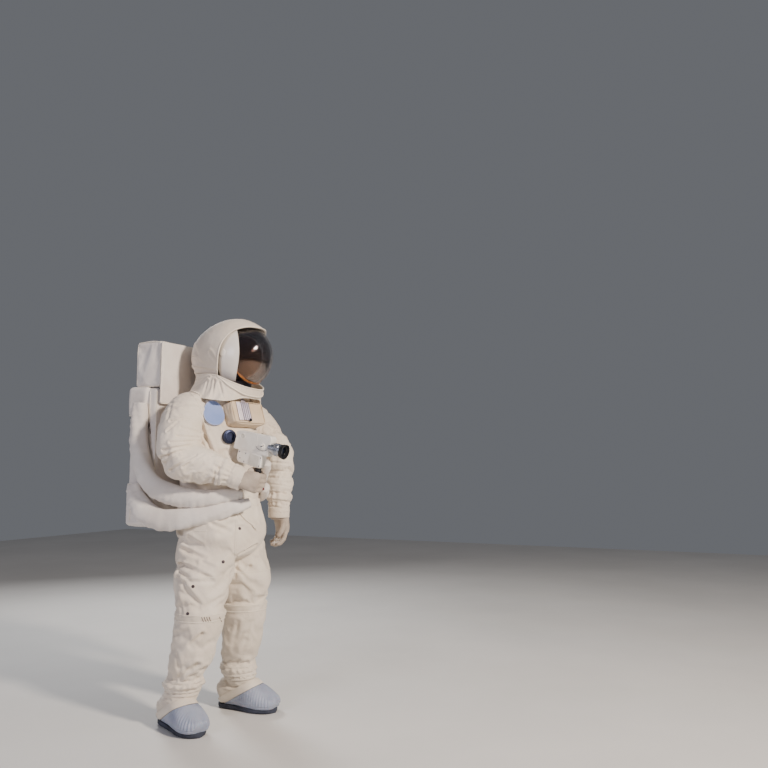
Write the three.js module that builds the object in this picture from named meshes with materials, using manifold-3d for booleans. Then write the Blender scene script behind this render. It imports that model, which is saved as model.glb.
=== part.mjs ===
// Full-size museum display figure in a Moon spacesuit: it stands on ribbed overshoes, wears a
// life-support backpack and a hooded helmet with a gold visor, and holds a small film camera.
// Millimetres, +Z up. The figure faces -Y, so its left hand is on the +X side.
// Tables below are in the figure's own frame; the whole group is then moved by frameShift so that
// the origin is on the floor, in the middle of the figure's outline.

import * as THREE from "three";
import { mergeVertices } from "three/addons/utils/BufferGeometryUtils.js";
import Module from "manifold-3d";

const wasm = await Module();
wasm.setup();

// Driving sizes
const gap = 0.3; // clearance between pieces that touch
const soleThickness = 24;
const floorLevel = 0;
const hub = { y: -90, z: 1740 }; // visor pivot line, parallel to X
const bubble = { halfWidth: 128, radius: 150 };
const visor = { halfWidth: 143, radius: 166, wall: 3.5, low: -58, high: 75 };
const shade = { halfWidth: 152.5, radius: 175, wall: 3.5, inner: 100, front: -64, back: 34 };
const hood = { halfWidth: 175, radius: 191, wall: 8, backStretch: 1.42 };
const opening = { y: -190, z: 1725, depth: 105, height: 185, top: 1910 };
const rim = { halfWidth: 184, radius: 200, thickness: 27, reach: 92, low: -68, high: -56 };
const collarTop = { y: -34, z: 1642, slope: 20 }; // its head edge dips to the front
const hubDisc = { radius: 24, inner: bubble.halfWidth + gap, outer: 145.5 };
const shadeDisc = { radius: 20, inner: hubDisc.outer + gap, outer: 156 };
const neckRing = { radius: 90, y: -48, low: 1566, high: 1612 };
const frameShift = { x: 6, y: 22 };

// Materials
const finish = (color, roughness, metalness = 0) =>
  new THREE.MeshStandardMaterial({ color, roughness, metalness });
const suitFabric = finish(0xe6dfd3, 0.85);
const packFabric = finish(0xdcd8d6, 0.8);
const gloveRubber = finish(0xbdb3ad, 0.6);
const overshoeRubber = finish(0xaab4cf, 0.55);
const soleRubber = finish(0x2c2f3a, 0.8);
const goldFilm = finish(0x8a5a22, 0.12, 0.9);
const smokedPlastic = finish(0x15131a, 0.15);
const whiteShell = finish(0xf1ece6, 0.35);
const cameraPaint = finish(0xf2efe8, 0.4);
const lensMetal = finish(0xc8ccd4, 0.25, 0.9);
const blackPlastic = finish(0x101014, 0.4);
const bracketMetal = finish(0x9c97a3, 0.45, 0.6);
const connectorMetal = finish(0x3b4560, 0.35, 0.7);
const ringMetal = finish(0xa7abb5, 0.35, 0.8);

// Solids
const toSolid = (geometry) => {
  const bare = geometry.clone();
  bare.deleteAttribute("normal");
  bare.deleteAttribute("uv");
  const merged = mergeVertices(bare, 1e-4);
  return new wasm.Manifold(
    new wasm.Mesh({
      numProp: 3,
      vertProperties: new Float32Array(merged.attributes.position.array),
      triVerts: new Uint32Array(merged.index.array),
    }),
  );
};

const toGeometry = (solid) => {
  const mesh = solid.getMesh();
  const geometry = new THREE.BufferGeometry();
  geometry.setAttribute("position", new THREE.BufferAttribute(mesh.vertProperties, 3));
  geometry.setIndex(new THREE.BufferAttribute(mesh.triVerts, 1));
  return geometry;
};

const vector = (x, y, z) => new THREE.Vector3(x, y, z);

// A soft tube through a table of sections. Columns: x, y, z of the centre, half width along the
// side direction, half depth across it. square bends the oval towards a rounded rectangle, and
// level keeps every section flat on the ground instead of square to the tube.
const tube = (
  table,
  { side = vector(1, 0, 0), sides = 20, rings = 2, square = 2, grow = 0, level = false } = {},
) => {
  const steps = (table.length - 1) * rings;
  const geometry = new THREE.CylinderGeometry(1, 1, 1, sides, steps);
  const path = new THREE.CatmullRomCurve3(table.map((row) => vector(row[0], row[1], row[2])));
  const sizes = new THREE.CatmullRomCurve3(table.map((row) => vector(row[3], row[4], 0)));
  const position = geometry.attributes.position;
  const bend = (value) => Math.sign(value) * Math.abs(value) ** (2 / square);
  const heading = Math.sign(table.at(-1)[2] - table[0][2]);
  for (let i = 0; i < position.count; i += 1) {
    const along = 0.5 - position.getY(i);
    const reach = Math.hypot(position.getX(i), position.getZ(i));
    const angle = Math.atan2(position.getZ(i), position.getX(i));
    const point = path.getPoint(along);
    const tangent = level ? vector(0, 0, heading) : path.getTangent(along);
    const across = tangent.clone().cross(side).normalize();
    const outward = across.clone().cross(tangent).normalize();
    const size = sizes.getPoint(along);
    const end = Math.trunc(2.001 * (along - 0.5)); // -1 at the first cap, 1 at the last, else 0
    point
      .addScaledVector(tangent, end * grow)
      .addScaledVector(outward, reach * (size.x + grow) * bend(Math.cos(angle)))
      .addScaledVector(across, reach * (size.y + grow) * bend(Math.sin(angle)));
    position.setXYZ(i, point.x, point.y, point.z);
  }
  return toSolid(geometry);
};

// A block with rounded upright edges, given by its low and high corners.
const block = (low, high, round = 0, grow = 0) => {
  const [x0, y0, z0] = low.map((value) => value - grow);
  const [x1, y1, z1] = high.map((value) => value + grow);
  if (!round) {
    const geometry = new THREE.BoxGeometry(x1 - x0, y1 - y0, z1 - z0);
    geometry.translate((x0 + x1) / 2, (y0 + y1) / 2, (z0 + z1) / 2);
    return toSolid(geometry);
  }
  const r = round;
  const shape = new THREE.Shape();
  shape.moveTo(x0 + r, y0);
  shape.lineTo(x1 - r, y0);
  shape.absarc(x1 - r, y0 + r, r, -Math.PI / 2, 0);
  shape.lineTo(x1, y1 - r);
  shape.absarc(x1 - r, y1 - r, r, 0, Math.PI / 2);
  shape.lineTo(x0 + r, y1);
  shape.absarc(x0 + r, y1 - r, r, Math.PI / 2, Math.PI);
  shape.lineTo(x0, y0 + r);
  shape.absarc(x0 + r, y0 + r, r, Math.PI, 1.5 * Math.PI);
  const bevel = Math.min(r * 0.5, (z1 - z0) / 4);
  const geometry = new THREE.ExtrudeGeometry(shape, {
    depth: z1 - z0 - 2 * bevel,
    bevelEnabled: true,
    bevelThickness: bevel,
    bevelSize: bevel,
    bevelOffset: -bevel,
    bevelSegments: 1,
    curveSegments: 3,
  });
  geometry.translate(0, 0, z0 + bevel);
  return toSolid(geometry);
};

// A rod between two points.
const rod = (from, to, radiusFrom, radiusTo = radiusFrom, sides = 24) => {
  const span = to.clone().sub(from);
  const geometry = new THREE.CylinderGeometry(radiusTo, radiusFrom, span.length(), sides);
  const turn = new THREE.Quaternion().setFromUnitVectors(vector(0, 1, 0), span.clone().normalize());
  geometry.applyQuaternion(turn);
  const middle = from.clone().add(to).multiplyScalar(0.5);
  geometry.translate(middle.x, middle.y, middle.z);
  return toSolid(geometry);
};

// An egg round the visor's pivot line: a body of revolution about X, its back half stretched.
const egg = (halfWidth, radius, stretch = 1, sides = 30, rows = 14) => {
  const geometry = new THREE.SphereGeometry(1, sides, rows);
  geometry.rotateZ(Math.PI / 2);
  geometry.scale(halfWidth, radius, radius);
  const position = geometry.attributes.position;
  for (let i = 0; i < position.count; i += 1) {
    if (position.getY(i) > 0) position.setY(i, position.getY(i) * stretch);
  }
  geometry.translate(0, hub.y, hub.z);
  return toSolid(geometry);
};

// A slice of pie about the pivot line, from a low to a high angle above straight ahead.
const wedge = (low, high, reach = 400, halfWidth = 260) => {
  const shape = new THREE.Shape();
  shape.moveTo(0, 0);
  const steps = 8;
  for (let i = 0; i <= steps; i += 1) {
    const angle = THREE.MathUtils.degToRad(low + ((high - low) * i) / steps);
    shape.lineTo(reach * Math.cos(angle), reach * Math.sin(angle));
  }
  const geometry = new THREE.ExtrudeGeometry(shape, { depth: 2 * halfWidth, bevelEnabled: false });
  // The shape's own x is straight ahead (-Y), its y is up, and its depth runs along X.
  const axes = new THREE.Matrix4().makeBasis(vector(0, -1, 0), vector(0, 0, 1), vector(-1, 0, 0));
  geometry.applyMatrix4(axes);
  geometry.translate(halfWidth, hub.y, hub.z);
  return toSolid(geometry);
};

const pinDisc = (side, disc) =>
  rod(vector(side * disc.inner, hub.y, hub.z), vector(side * disc.outer, hub.y, hub.z), disc.radius);

// Body tables. Columns: x, y, z, half width, half depth
const torsoTable = [
  [0, 14, 1010.3, 204, 178],
  [0, 18, 1090, 204, 178],
  [0, 26, 1180, 212, 182],
  [0, 38, 1280, 226, 186],
  [0, 48, 1370, 234, 182],
  [0, 56, 1440, 228, 168],
  [0, 54, 1495, 200, 152],
  [0, 30, 1538, 156, 128],
  [0, -10, neckRing.low - gap, 120, 116],
];
const hipsTable = [
  [0, 2, 752, 120, 90],
  [0, 0, 790, 185, 150],
  [0, 0, 860, 222, 188],
  [0, 4, 940, 222, 192],
  [0, 14, 1010, 206, 180],
];
const legs = {
  right: {
    thigh: [
      [-98, 8, 880, 108, 150],
      [-112, 10, 780, 128, 146],
      [-126, 10, 690, 130, 136],
      [-140, 5, 610, 124, 126],
      [-150, 0, 541, 116, 118],
    ],
    band: [
      [-150, 0, 540.7, 119, 121],
      [-152, 2, 499, 121, 123],
    ],
    shin: [
      [-152, 2, 498.7, 109, 112],
      [-158, 14, 420, 105, 109],
      [-163, 34, 330, 97, 103],
      [-161, 62, 255, 86, 92],
      [-158, 74, 216, 80, 86],
    ],
    cuff: [
      [-158, 74, 215.7, 84, 90],
      [-157, 80, 188, 88, 94],
      [-160, 84, 158, 78, 84],
      [-162, 84, 132, 64, 74],
    ],
    foot: { x: -194, y: 60, turn: -21 },
  },
  left: {
    thigh: [
      [98, -4, 880, 108, 148],
      [112, -28, 780, 128, 140],
      [122, -46, 690, 128, 132],
      [134, -48, 610, 122, 124],
      [146, -36, 541, 114, 116],
    ],
    band: [
      [146, -36, 540.7, 117, 119],
      [148, -33, 499, 119, 121],
    ],
    shin: [
      [148, -33, 498.7, 107, 110],
      [158, -24, 420, 103, 106],
      [168, -8, 330, 95, 99],
      [180, 12, 255, 84, 90],
      [184, 20, 216, 80, 86],
    ],
    cuff: [
      [184, 20, 215.7, 84, 90],
      [186, 18, 188, 88, 94],
      [188, 12, 158, 78, 84],
      [190, 6, 132, 64, 74],
    ],
    foot: { x: 191, y: -36, turn: 2 },
  },
};
const arms = {
  right: {
    upper: [
      [-128, 56, 1476, 60, 66],
      [-186, 50, 1468, 92, 96],
      [-240, 46, 1420, 100, 108],
      [-274, 46, 1350, 98, 110],
      [-288, 46, 1280, 92, 106],
      [-292, 44, 1236, 62, 72],
    ],
    fore: [
      [-300, 84, 1256, 56, 56],
      [-288, 40, 1248, 98, 98],
      [-256, -46, 1212, 94, 94],
      [-208, -142, 1180, 74, 74],
      [-164, -213, 1143, 54, 54],
    ],
  },
  left: {
    upper: [
      [128, 48, 1476, 60, 66],
      [188, 30, 1466, 90, 90],
      [240, -14, 1420, 96, 96],
      [276, -72, 1350, 90, 90],
      [296, -116, 1288, 80, 80],
      [300, -128, 1250, 56, 56],
    ],
    fore: [
      [296, -112, 1318, 44, 44],
      [299, -124, 1272, 76, 76],
      [302, -134, 1190, 72, 72],
      [299, -137, 1076, 66, 66],
      [296, -137, 956, 56, 56],
    ],
  },
};

const nodes = [];
const solids = {};
const add = (name, solid, material) => {
  solids[name] = solid;
  const mesh = new THREE.Mesh(toGeometry(solid), material);
  mesh.name = name;
  nodes.push(mesh);
};

// Backpack: low and high corners of its parts
const packBox = [[-240, 220, 922], [240, 385, 1575]];
const topCoverBox = [[-249, 272, 1440], [249, 394, 1583]];
const lowCoverBox = [[-247, 258, 914], [247, 392, 1116]];
const oxygenBox = [[-232, 198, 1583.3], [232, 363, 1806]];
const apronBox = [[-236, 184, 1500], [236, 197.7, 1800]];
const pack = (grow = 0) => block(packBox[0], packBox[1], 22, grow);
const apron = (grow = 0) => block(apronBox[0], apronBox[1], 5, grow);

// Torso and hips
const torsoSolid = (grow = 0) =>
  tube(torsoTable, { sides: 24, square: 2.3, level: true, grow });
const hipsSolid = (grow = 0) => tube(hipsTable, { sides: 24, square: 2.2, level: true, grow });
add("torso", torsoSolid().subtract(pack(gap)).subtract(apron(gap)), suitFabric);
add("hips", hipsSolid().subtract(pack(gap)), suitFabric);

// Legs
const footPlace = (geometry, { x, y, turn }) =>
  geometry.rotateZ(THREE.MathUtils.degToRad(turn)).translate(x, y, 0);

// Outline of a sole, heel at +Y and toe at -Y.
const soleShape = () => {
  const shape = new THREE.Shape();
  shape.moveTo(-52, 96);
  shape.quadraticCurveTo(-52, 157, 0, 157);
  shape.quadraticCurveTo(52, 157, 52, 96);
  shape.quadraticCurveTo(52, 20, 67, -52);
  shape.quadraticCurveTo(70, -160, 0, -163);
  shape.quadraticCurveTo(-70, -160, -67, -52);
  shape.quadraticCurveTo(-52, 20, -52, 96);
  return shape;
};
const soleSolid = (foot) => {
  const geometry = new THREE.ExtrudeGeometry(soleShape(), {
    depth: soleThickness - 4,
    bevelEnabled: true,
    bevelThickness: 2,
    bevelSize: 2,
    bevelSegments: 1,
    curveSegments: 7,
  });
  geometry.translate(0, 0, floorLevel + 2);
  return toSolid(footPlace(geometry, foot));
};

// Foot form above the sole. Columns: x, y (heel +Y), z, half width, half height
const footTable = [
  [0, 155, 62, 30, 34],
  [0, 134, 72, 53, 60],
  [0, 80, 86, 58, 80],
  [0, 20, 84, 60, 80],
  [0, -40, 66, 68, 66],
  [0, -100, 48, 70, 50],
  [0, -146, 38, 54, 34],
  [0, -161, 34, 30, 22],
];
const footTurned = (foot) => {
  const angle = THREE.MathUtils.degToRad(foot.turn);
  return footTable.map(([x, y, z, width, height]) => [
    foot.x + x * Math.cos(angle) - y * Math.sin(angle),
    foot.y + x * Math.sin(angle) + y * Math.cos(angle),
    z,
    width,
    height,
  ]);
};
const footSolid = (foot, grow = 0) => {
  const angle = THREE.MathUtils.degToRad(foot.turn);
  const side = vector(Math.cos(angle), Math.sin(angle), 0);
  return tube(footTurned(foot), { side, sides: 18, square: 2.4, grow });
};
// The instep strap slants from the top of the foot down to the heel. Places before and behind it
// are measured square to it, from a point on its middle line.
const strapPlace = { y: 30, z: 90, tilt: 60.7, halfWidth: 17 };
const toeCapEdge = -20;
const aboveSole = block([-700, -700, soleThickness + gap], [700, 700, 700]);
const slantedSlab = (foot, low, high) => {
  const geometry = new THREE.BoxGeometry(400, high - low, 700);
  geometry.translate(0, (low + high) / 2, 0);
  geometry.rotateX(THREE.MathUtils.degToRad(strapPlace.tilt));
  geometry.translate(0, strapPlace.y, strapPlace.z);
  return toSolid(footPlace(geometry, foot)).intersect(aboveSole);
};

for (const name of ["right", "left"]) {
  const leg = legs[name];
  const cuffSolid = (grow = 0) => tube(leg.cuff, { level: true, grow });
  const inner = name === "right" ? -gap / 2 : gap / 2;
  const ownSide = block([Math.min(inner, inner * 5000), -400, 400], [Math.max(inner, inner * 5000), 400, 1000]);
  const thighSolid = tube(leg.thigh, { sides: 20, level: true });
  const cut = (solid, low, high) =>
    solid.intersect(slantedSlab(leg.foot, low, high)).subtract(cuffSolid(gap));
  const strap = footSolid(leg.foot, 5).subtract(footSolid(leg.foot, gap));
  const upperSolid = cut(footSolid(leg.foot), toeCapEdge, 400);
  const toeSolid = cut(footSolid(leg.foot, 2), -400, toeCapEdge - gap);
  const strapSolid = cut(strap, -strapPlace.halfWidth, strapPlace.halfWidth);
  add(`${name}_thigh`, thighSolid.subtract(hipsSolid(gap)).intersect(ownSide), suitFabric);
  add(`${name}_knee_band`, tube(leg.band, { sides: 20, rings: 1, level: true }), suitFabric);
  add(`${name}_shin`, tube(leg.shin, { sides: 20, level: true }), suitFabric);
  add(`${name}_boot_cuff`, cuffSolid(), suitFabric);
  add(`${name}_boot_upper`, upperSolid, suitFabric);
  add(`${name}_toe_cap`, toeSolid, overshoeRubber);
  add(`${name}_boot_strap`, strapSolid, suitFabric);
  add(`${name}_sole`, soleSolid(leg.foot), soleRubber);
}

// Arms
for (const name of ["right", "left"]) {
  const arm = arms[name];
  const side = vector(0, 1, 0);
  const upper = (grow = 0) => tube(arm.upper, { side, grow });
  add(
    `${name}_upper_arm`,
    upper().subtract(torsoSolid(gap)).subtract(pack(gap)).subtract(apron(gap)),
    suitFabric,
  );
  add(
    `${name}_forearm`,
    tube(arm.fore, { side }).subtract(upper(2 * gap)).subtract(torsoSolid(gap)),
    suitFabric,
  );
}

// Helmet
const hoodBody = () =>
  egg(hood.halfWidth, hood.radius, hood.backStretch).subtract(
    egg(hood.halfWidth - hood.wall, hood.radius - hood.wall, hood.backStretch),
  );
const hoodBase = 1616; // the hood's open lower end
const aboveBase = block([-400, -500, hoodBase], [400, 500, 2200]);
const bosses = [-1, 1].map((side) =>
  pinDisc(side, { radius: 22, inner: shadeDisc.outer + gap, outer: hood.halfWidth - 3 }),
);
const openingSolid = () => {
  const geometry = new THREE.CylinderGeometry(1, 1, 520, 36);
  geometry.rotateZ(Math.PI / 2);
  geometry.scale(1, opening.depth, opening.height);
  geometry.translate(0, opening.y, opening.z);
  return toSolid(geometry).add(block([-260, -500, 1400], [260, opening.y, opening.top]));
};
const hoodShell = hoodBody().subtract(openingSolid()).intersect(aboveBase);
add("helmet_hood", hoodShell.add(bosses[0]).add(bosses[1]).subtract(openingSolid()), suitFabric);
add(
  "helmet_bubble",
  egg(bubble.halfWidth, bubble.radius).intersect(block([-300, -400, neckRing.high + gap], [300, 300, 2200])),
  smokedPlastic,
);
add(
  "neck_ring",
  rod(
    vector(0, neckRing.y, neckRing.low),
    vector(0, neckRing.y, neckRing.high),
    neckRing.radius,
    neckRing.radius,
    32,
  ),
  ringMetal,
);

const lowerRim = egg(rim.halfWidth, rim.radius)
  .subtract(egg(rim.halfWidth - rim.thickness, rim.radius - rim.thickness))
  .intersect(wedge(rim.low, rim.high))
  .intersect(block([-rim.reach, -500, 1500], [rim.reach, 500, 1800]));

const collarTable = [
  [0, -34, 1652, 158, 186],
  [0, -26, 1600, 172, 192],
  [0, 6, 1550, 198, 198],
  [0, 18, 1512, 216, 200],
];
const collarInner = collarTable.map(([x, y, z, width, depth], i) => [
  x,
  y,
  z + (i === 0 ? 1 : i === collarTable.length - 1 ? -1 : 0),
  width - 7,
  depth - 7,
]);
const underCollarTop = () => {
  const geometry = new THREE.BoxGeometry(600, 900, 400);
  geometry.translate(0, 0, -200);
  geometry.rotateX(THREE.MathUtils.degToRad(collarTop.slope));
  geometry.translate(0, collarTop.y, collarTop.z);
  return toSolid(geometry);
};
const armSolid = (name, grow) => tube(arms[name].upper, { side: vector(0, 1, 0), grow });
const insideHood = egg(hood.halfWidth + gap, hood.radius + gap, hood.backStretch);
const collarSolid = tube(collarTable, { sides: 28, level: true })
  .subtract(tube(collarInner, { sides: 28, level: true }))
  .intersect(underCollarTop())
  .subtract(insideHood)
  .subtract(torsoSolid(gap))
  .subtract(armSolid("right", gap))
  .subtract(armSolid("left", gap))
  .subtract(apron(gap))
  .subtract(pack(gap));
const largest = (solid) =>
  solid.decompose().sort((a, b) => b.volume() - a.volume())[0];
const collarPiece = largest(collarSolid);
add("collar", collarPiece, suitFabric);
add("visor_rim", largest(lowerRim.subtract(collarPiece).subtract(hoodShell)), whiteShell);

const visorShell = egg(visor.halfWidth, visor.radius)
  .subtract(egg(visor.halfWidth - visor.wall, visor.radius - visor.wall))
  .intersect(wedge(visor.low, visor.high));
add("gold_visor", visorShell.add(pinDisc(-1, hubDisc)).add(pinDisc(1, hubDisc)), goldFilm);

for (const [name, side] of [["right", -1], ["left", 1]]) {
  const region = block(
    [Math.min(side * shade.inner, side * 300), hub.y + shade.front, 1500],
    [Math.max(side * shade.inner, side * 300), hub.y + shade.back, 2000],
  );
  const shell = egg(shade.halfWidth, shade.radius)
    .subtract(egg(shade.halfWidth - shade.wall, shade.radius - shade.wall))
    .intersect(region);
  add(`${name}_eyeshade`, shell.add(pinDisc(side, shadeDisc)), whiteShell);
}

// Backpack
add("backpack", pack(), packFabric);
add(
  "backpack_top_cover",
  block(topCoverBox[0], topCoverBox[1], 22).subtract(pack(gap)),
  packFabric,
);
add(
  "backpack_low_cover",
  block(lowCoverBox[0], lowCoverBox[1], 22).subtract(pack(gap)),
  packFabric,
);
add("oxygen_pack", block(oxygenBox[0], oxygenBox[1], 12), packFabric);
add("oxygen_pack_apron", apron(), packFabric);

// Chest control unit, pitched back on the chest
const chestUnit = { x: -8, y: -126, z: 1448, width: 226, depth: 66, height: 116, pitch: -24 };
const onChest = (solid) =>
  solid.rotate([chestUnit.pitch, 0, 0]).translate([chestUnit.x, chestUnit.y, chestUnit.z]);
const unitHalf = [chestUnit.width / 2, chestUnit.depth / 2, chestUnit.height / 2];
add(
  "chest_unit",
  onChest(block([-unitHalf[0], -unitHalf[1], -unitHalf[2]], [unitHalf[0], unitHalf[1] + 26, unitHalf[2]], 10))
    .subtract(torsoSolid(gap))
    .subtract(collarPiece),
  suitFabric,
);
add(
  "chest_unit_bracket",
  largest(
    onChest(block([-53, -unitHalf[1] - 9, -36], [1, -unitHalf[1] - gap, 57], 3)).subtract(collarPiece),
  ),
  bracketMetal,
);

// Chest connectors. Columns: name, x, z, radius, length
const connectors = [
  ["upper_right", -127, 1337, 33, 26],
  ["upper_left", 137, 1330, 33, 28],
  ["middle_left", 124, 1217, 28, 30],
  ["lower_right", -112, 1056, 27, 30],
  ["lower_left", 104, 1100, 28, 30],
];
const torsoFront = (x, z) => {
  const row = torsoTable.findIndex((entry) => entry[2] > z);
  const [low, high] = [torsoTable[row - 1], torsoTable[row]];
  const share = (z - low[2]) / (high[2] - low[2]);
  const mix = (column) => low[column] + (high[column] - low[column]) * share;
  const [width, depth] = [mix(3), mix(4)];
  const lift = (1 - Math.abs(x / width) ** 2.3) ** (1 / 2.3);
  return {
    point: vector(x, mix(1) - depth * lift, z),
    out: vector(x / width ** 2, (-lift * depth) / depth ** 2, 0).normalize(),
  };
};
const connectorCutters = [];
for (const [name, x, z, radius, length] of connectors) {
  const { point, out } = torsoFront(x, z);
  const base = point.clone().addScaledVector(out, -30);
  const tip = point.clone().addScaledVector(out, length);
  add(`connector_${name}`, rod(base, tip, radius).subtract(torsoSolid(gap)), connectorMetal);
  connectorCutters.push(rod(base, tip.clone().addScaledVector(out, gap), radius + gap));
}

// Hoses in loose fabric sleeves, from the backpack's sides to the front of the waist
const hoses = {
  right_hose_upper: [
    [-272, 296, 1500, 28, 34],
    [-278, 292, 1380, 32, 40],
    [-284, 270, 1230, 34, 46],
    [-286, 190, 1112, 36, 48],
    [-262, 76, 1060, 34, 48],
    [-216, -40, 1050, 32, 42],
    [-150, -136, 1060, 30, 34],
    [-98, -180, 1068, 26, 28],
  ],
  right_hose_lower: [
    [-272, 312, 1108, 28, 34],
    [-284, 290, 1050, 32, 44],
    [-290, 226, 984, 36, 52],
    [-276, 130, 950, 36, 52],
    [-246, 20, 956, 34, 46],
    [-190, -90, 980, 30, 38],
    [-124, -172, 1010, 26, 30],
    [-70, -205, 1024, 22, 24],
  ],
  left_hose_upper: [
    [262, 250, 1240, 24, 24],
    [276, 200, 1170, 24, 24],
    [262, 90, 1120, 24, 24],
    [222, -20, 1104, 24, 24],
    [188, -100, 1140, 24, 24],
    [150, -150, 1190, 24, 24],
    [128, -166, 1216, 24, 24],
  ],
  left_hose_lower: [
    [262, 250, 1150, 24, 24],
    [276, 196, 1080, 24, 24],
    [262, 90, 1030, 24, 24],
    [228, -20, 1030, 24, 24],
    [176, -120, 1056, 24, 24],
    [112, -172, 1094, 24, 24],
  ],
};
const hoseSolid = (table, grow = 0) =>
  tube(table, { side: vector(1, 0.6, 0).normalize(), sides: 12, grow });
const forearmCutters = ["right", "left"].map((name) =>
  tube(arms[name].fore, { side: vector(0, 1, 0), grow: gap }),
);
let taken = [
  torsoSolid(gap),
  hipsSolid(gap),
  pack(gap),
  block(topCoverBox[0], topCoverBox[1], 22, gap),
  block(lowCoverBox[0], lowCoverBox[1], 22, gap),
];
for (const [name, table] of Object.entries(hoses)) {
  const cutters = [...taken, ...forearmCutters, ...connectorCutters];
  const free = cutters.reduce((solid, cutter) => solid.subtract(cutter), hoseSolid(table));
  add(name, largest(free), packFabric);
  taken = [...taken, hoseSolid(table, gap)];
}

// Hands. forward runs from wrist to knuckles, thumbSide points up the hand, palm faces the grip.
// Finger columns: place across the palm, length share, radius
const fingers = [
  [33, 0.96, 12.5],
  [11, 1.04, 13],
  [-11, 1, 12.5],
  [-32, 0.82, 11.5],
];
const thumbRadii = [17, 16, 14, 11];
const phalanxes = [47, 33, 26];
const hand = ({ wrist, forward, thumbSide, palm, curls, thumb }) => {
  const at = (along, across, deep) =>
    wrist.clone().addScaledVector(forward, along).addScaledVector(thumbSide, across).addScaledVector(palm, deep);
  const row = (point, width, depth) => [point.x, point.y, point.z, width, depth];
  let solid = tube(
    [
      row(at(-2, 0, -14), 40, 36),
      row(at(24, 2, -16), 44, 30),
      row(at(52, 2, -18), 48, 24),
      row(at(80, 0, -18), 46, 19),
    ],
    { side: thumbSide, sides: 16, square: 2.6 },
  );
  for (const [across, share, radius] of fingers) {
    let point = at(70, across, -16);
    const rows = [row(point, radius, radius)];
    phalanxes.forEach((length, i) => {
      const curl = THREE.MathUtils.degToRad(curls[i]);
      const way = forward.clone().multiplyScalar(Math.cos(curl)).addScaledVector(palm, Math.sin(curl));
      point = point.clone().addScaledVector(way, length * share);
      rows.push(row(point, radius * (1 - 0.07 * (i + 1)), radius * (1 - 0.07 * (i + 1))));
    });
    solid = solid.add(tube(rows, { side: thumbSide, sides: 10, rings: 3 }));
  }
  const thumbRows = thumb.map(([along, across, deep], i) => {
    const radius = thumbRadii[i];
    return row(at(along, across, deep), radius, radius);
  });
  solid = solid.add(tube(thumbRows, { side: palm, sides: 10, rings: 2 }));
  return solid;
};

const sleeveEnd = (name) => {
  const table = arms[name].fore;
  const [last, before] = [table.at(-1), table.at(-2)];
  const centre = vector(last[0], last[1], last[2]);
  return { centre, way: centre.clone().sub(vector(before[0], before[1], before[2])).normalize() };
};

// Right hand grips the film camera's handle
const rightEnd = sleeveEnd("right");
const camera = { x: -112, y: -258, z: 1302, pitch: 15 };
const cameraAxes = {
  forward: vector(0, -Math.cos(THREE.MathUtils.degToRad(camera.pitch)), -Math.sin(THREE.MathUtils.degToRad(camera.pitch))),
  up: vector(0, -Math.sin(THREE.MathUtils.degToRad(camera.pitch)), Math.cos(THREE.MathUtils.degToRad(camera.pitch))),
};
const onCamera = (solid) => solid.rotate([camera.pitch, 0, 0]).translate([camera.x, camera.y, camera.z]);
const cameraPoint = (along, across, up) =>
  vector(camera.x + across, camera.y, camera.z)
    .addScaledVector(cameraAxes.forward, along)
    .addScaledVector(cameraAxes.up, up);
const handle = { along: 57, top: -101, low: -220, radius: 13, grip: -167 };
const handleSolid = (grow = 0) =>
  rod(
    cameraPoint(handle.along, 0, handle.low - grow),
    cameraPoint(handle.along, 0, handle.top),
    handle.radius + grow,
    handle.radius + grow,
    20,
  );
const gripForward = rightEnd.way
  .clone()
  .addScaledVector(cameraAxes.up, -rightEnd.way.dot(cameraAxes.up))
  .normalize();
const gripPalm = cameraAxes.up.clone().cross(gripForward).normalize();
const rightWrist = cameraPoint(handle.along, 0, handle.grip)
  .addScaledVector(gripForward, -62)
  .addScaledVector(gripPalm, -21);
const rightRing = rod(
  rightEnd.centre.clone().addScaledVector(rightEnd.way, gap),
  rightEnd.centre.clone().addScaledVector(rightEnd.way, 16),
  50,
);
add("right_wrist_ring", rightRing, ringMetal);
const ringKeepOut = rod(
  rightEnd.centre.clone().addScaledVector(rightEnd.way, -60),
  rightEnd.centre.clone().addScaledVector(rightEnd.way, 16 + gap),
  140,
);
add(
  "right_glove",
  largest(
    hand({
      wrist: rightWrist,
      forward: gripForward,
      thumbSide: cameraAxes.up,
      palm: gripPalm,
      curls: [54, 123, 180],
      thumb: [[18, 26, -4], [30, 44, 22], [48, 46, 50], [74, 38, 66]],
    })
      .subtract(ringKeepOut)
      .subtract(handleSolid(gap)),
  ),
  gloveRubber,
);
add("camera_handle", handleSolid(), blackPlastic);
add("camera_body", onCamera(block([-23, -92, -36], [23, 95, 45], 7)), cameraPaint);
add("camera_drive_block", onCamera(block([-21, -72, -100.7], [21, 52, -36 - gap], 6)), cameraPaint);
const lensAt = (along) => cameraPoint(along, 0, 4);
add("camera_lens", rod(lensAt(92 + gap), lensAt(156), 27, 30, 32), lensMetal);
add("lens_hood", rod(lensAt(156 + gap), lensAt(176), 31, 35, 32).subtract(rod(lensAt(164), lensAt(180), 24, 28, 32)), blackPlastic);
add(
  "camera_side_dial",
  rod(cameraPoint(48, -23 - gap, 0), cameraPoint(48, -33, 0), 17, 15, 28),
  cameraPaint,
);

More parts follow.
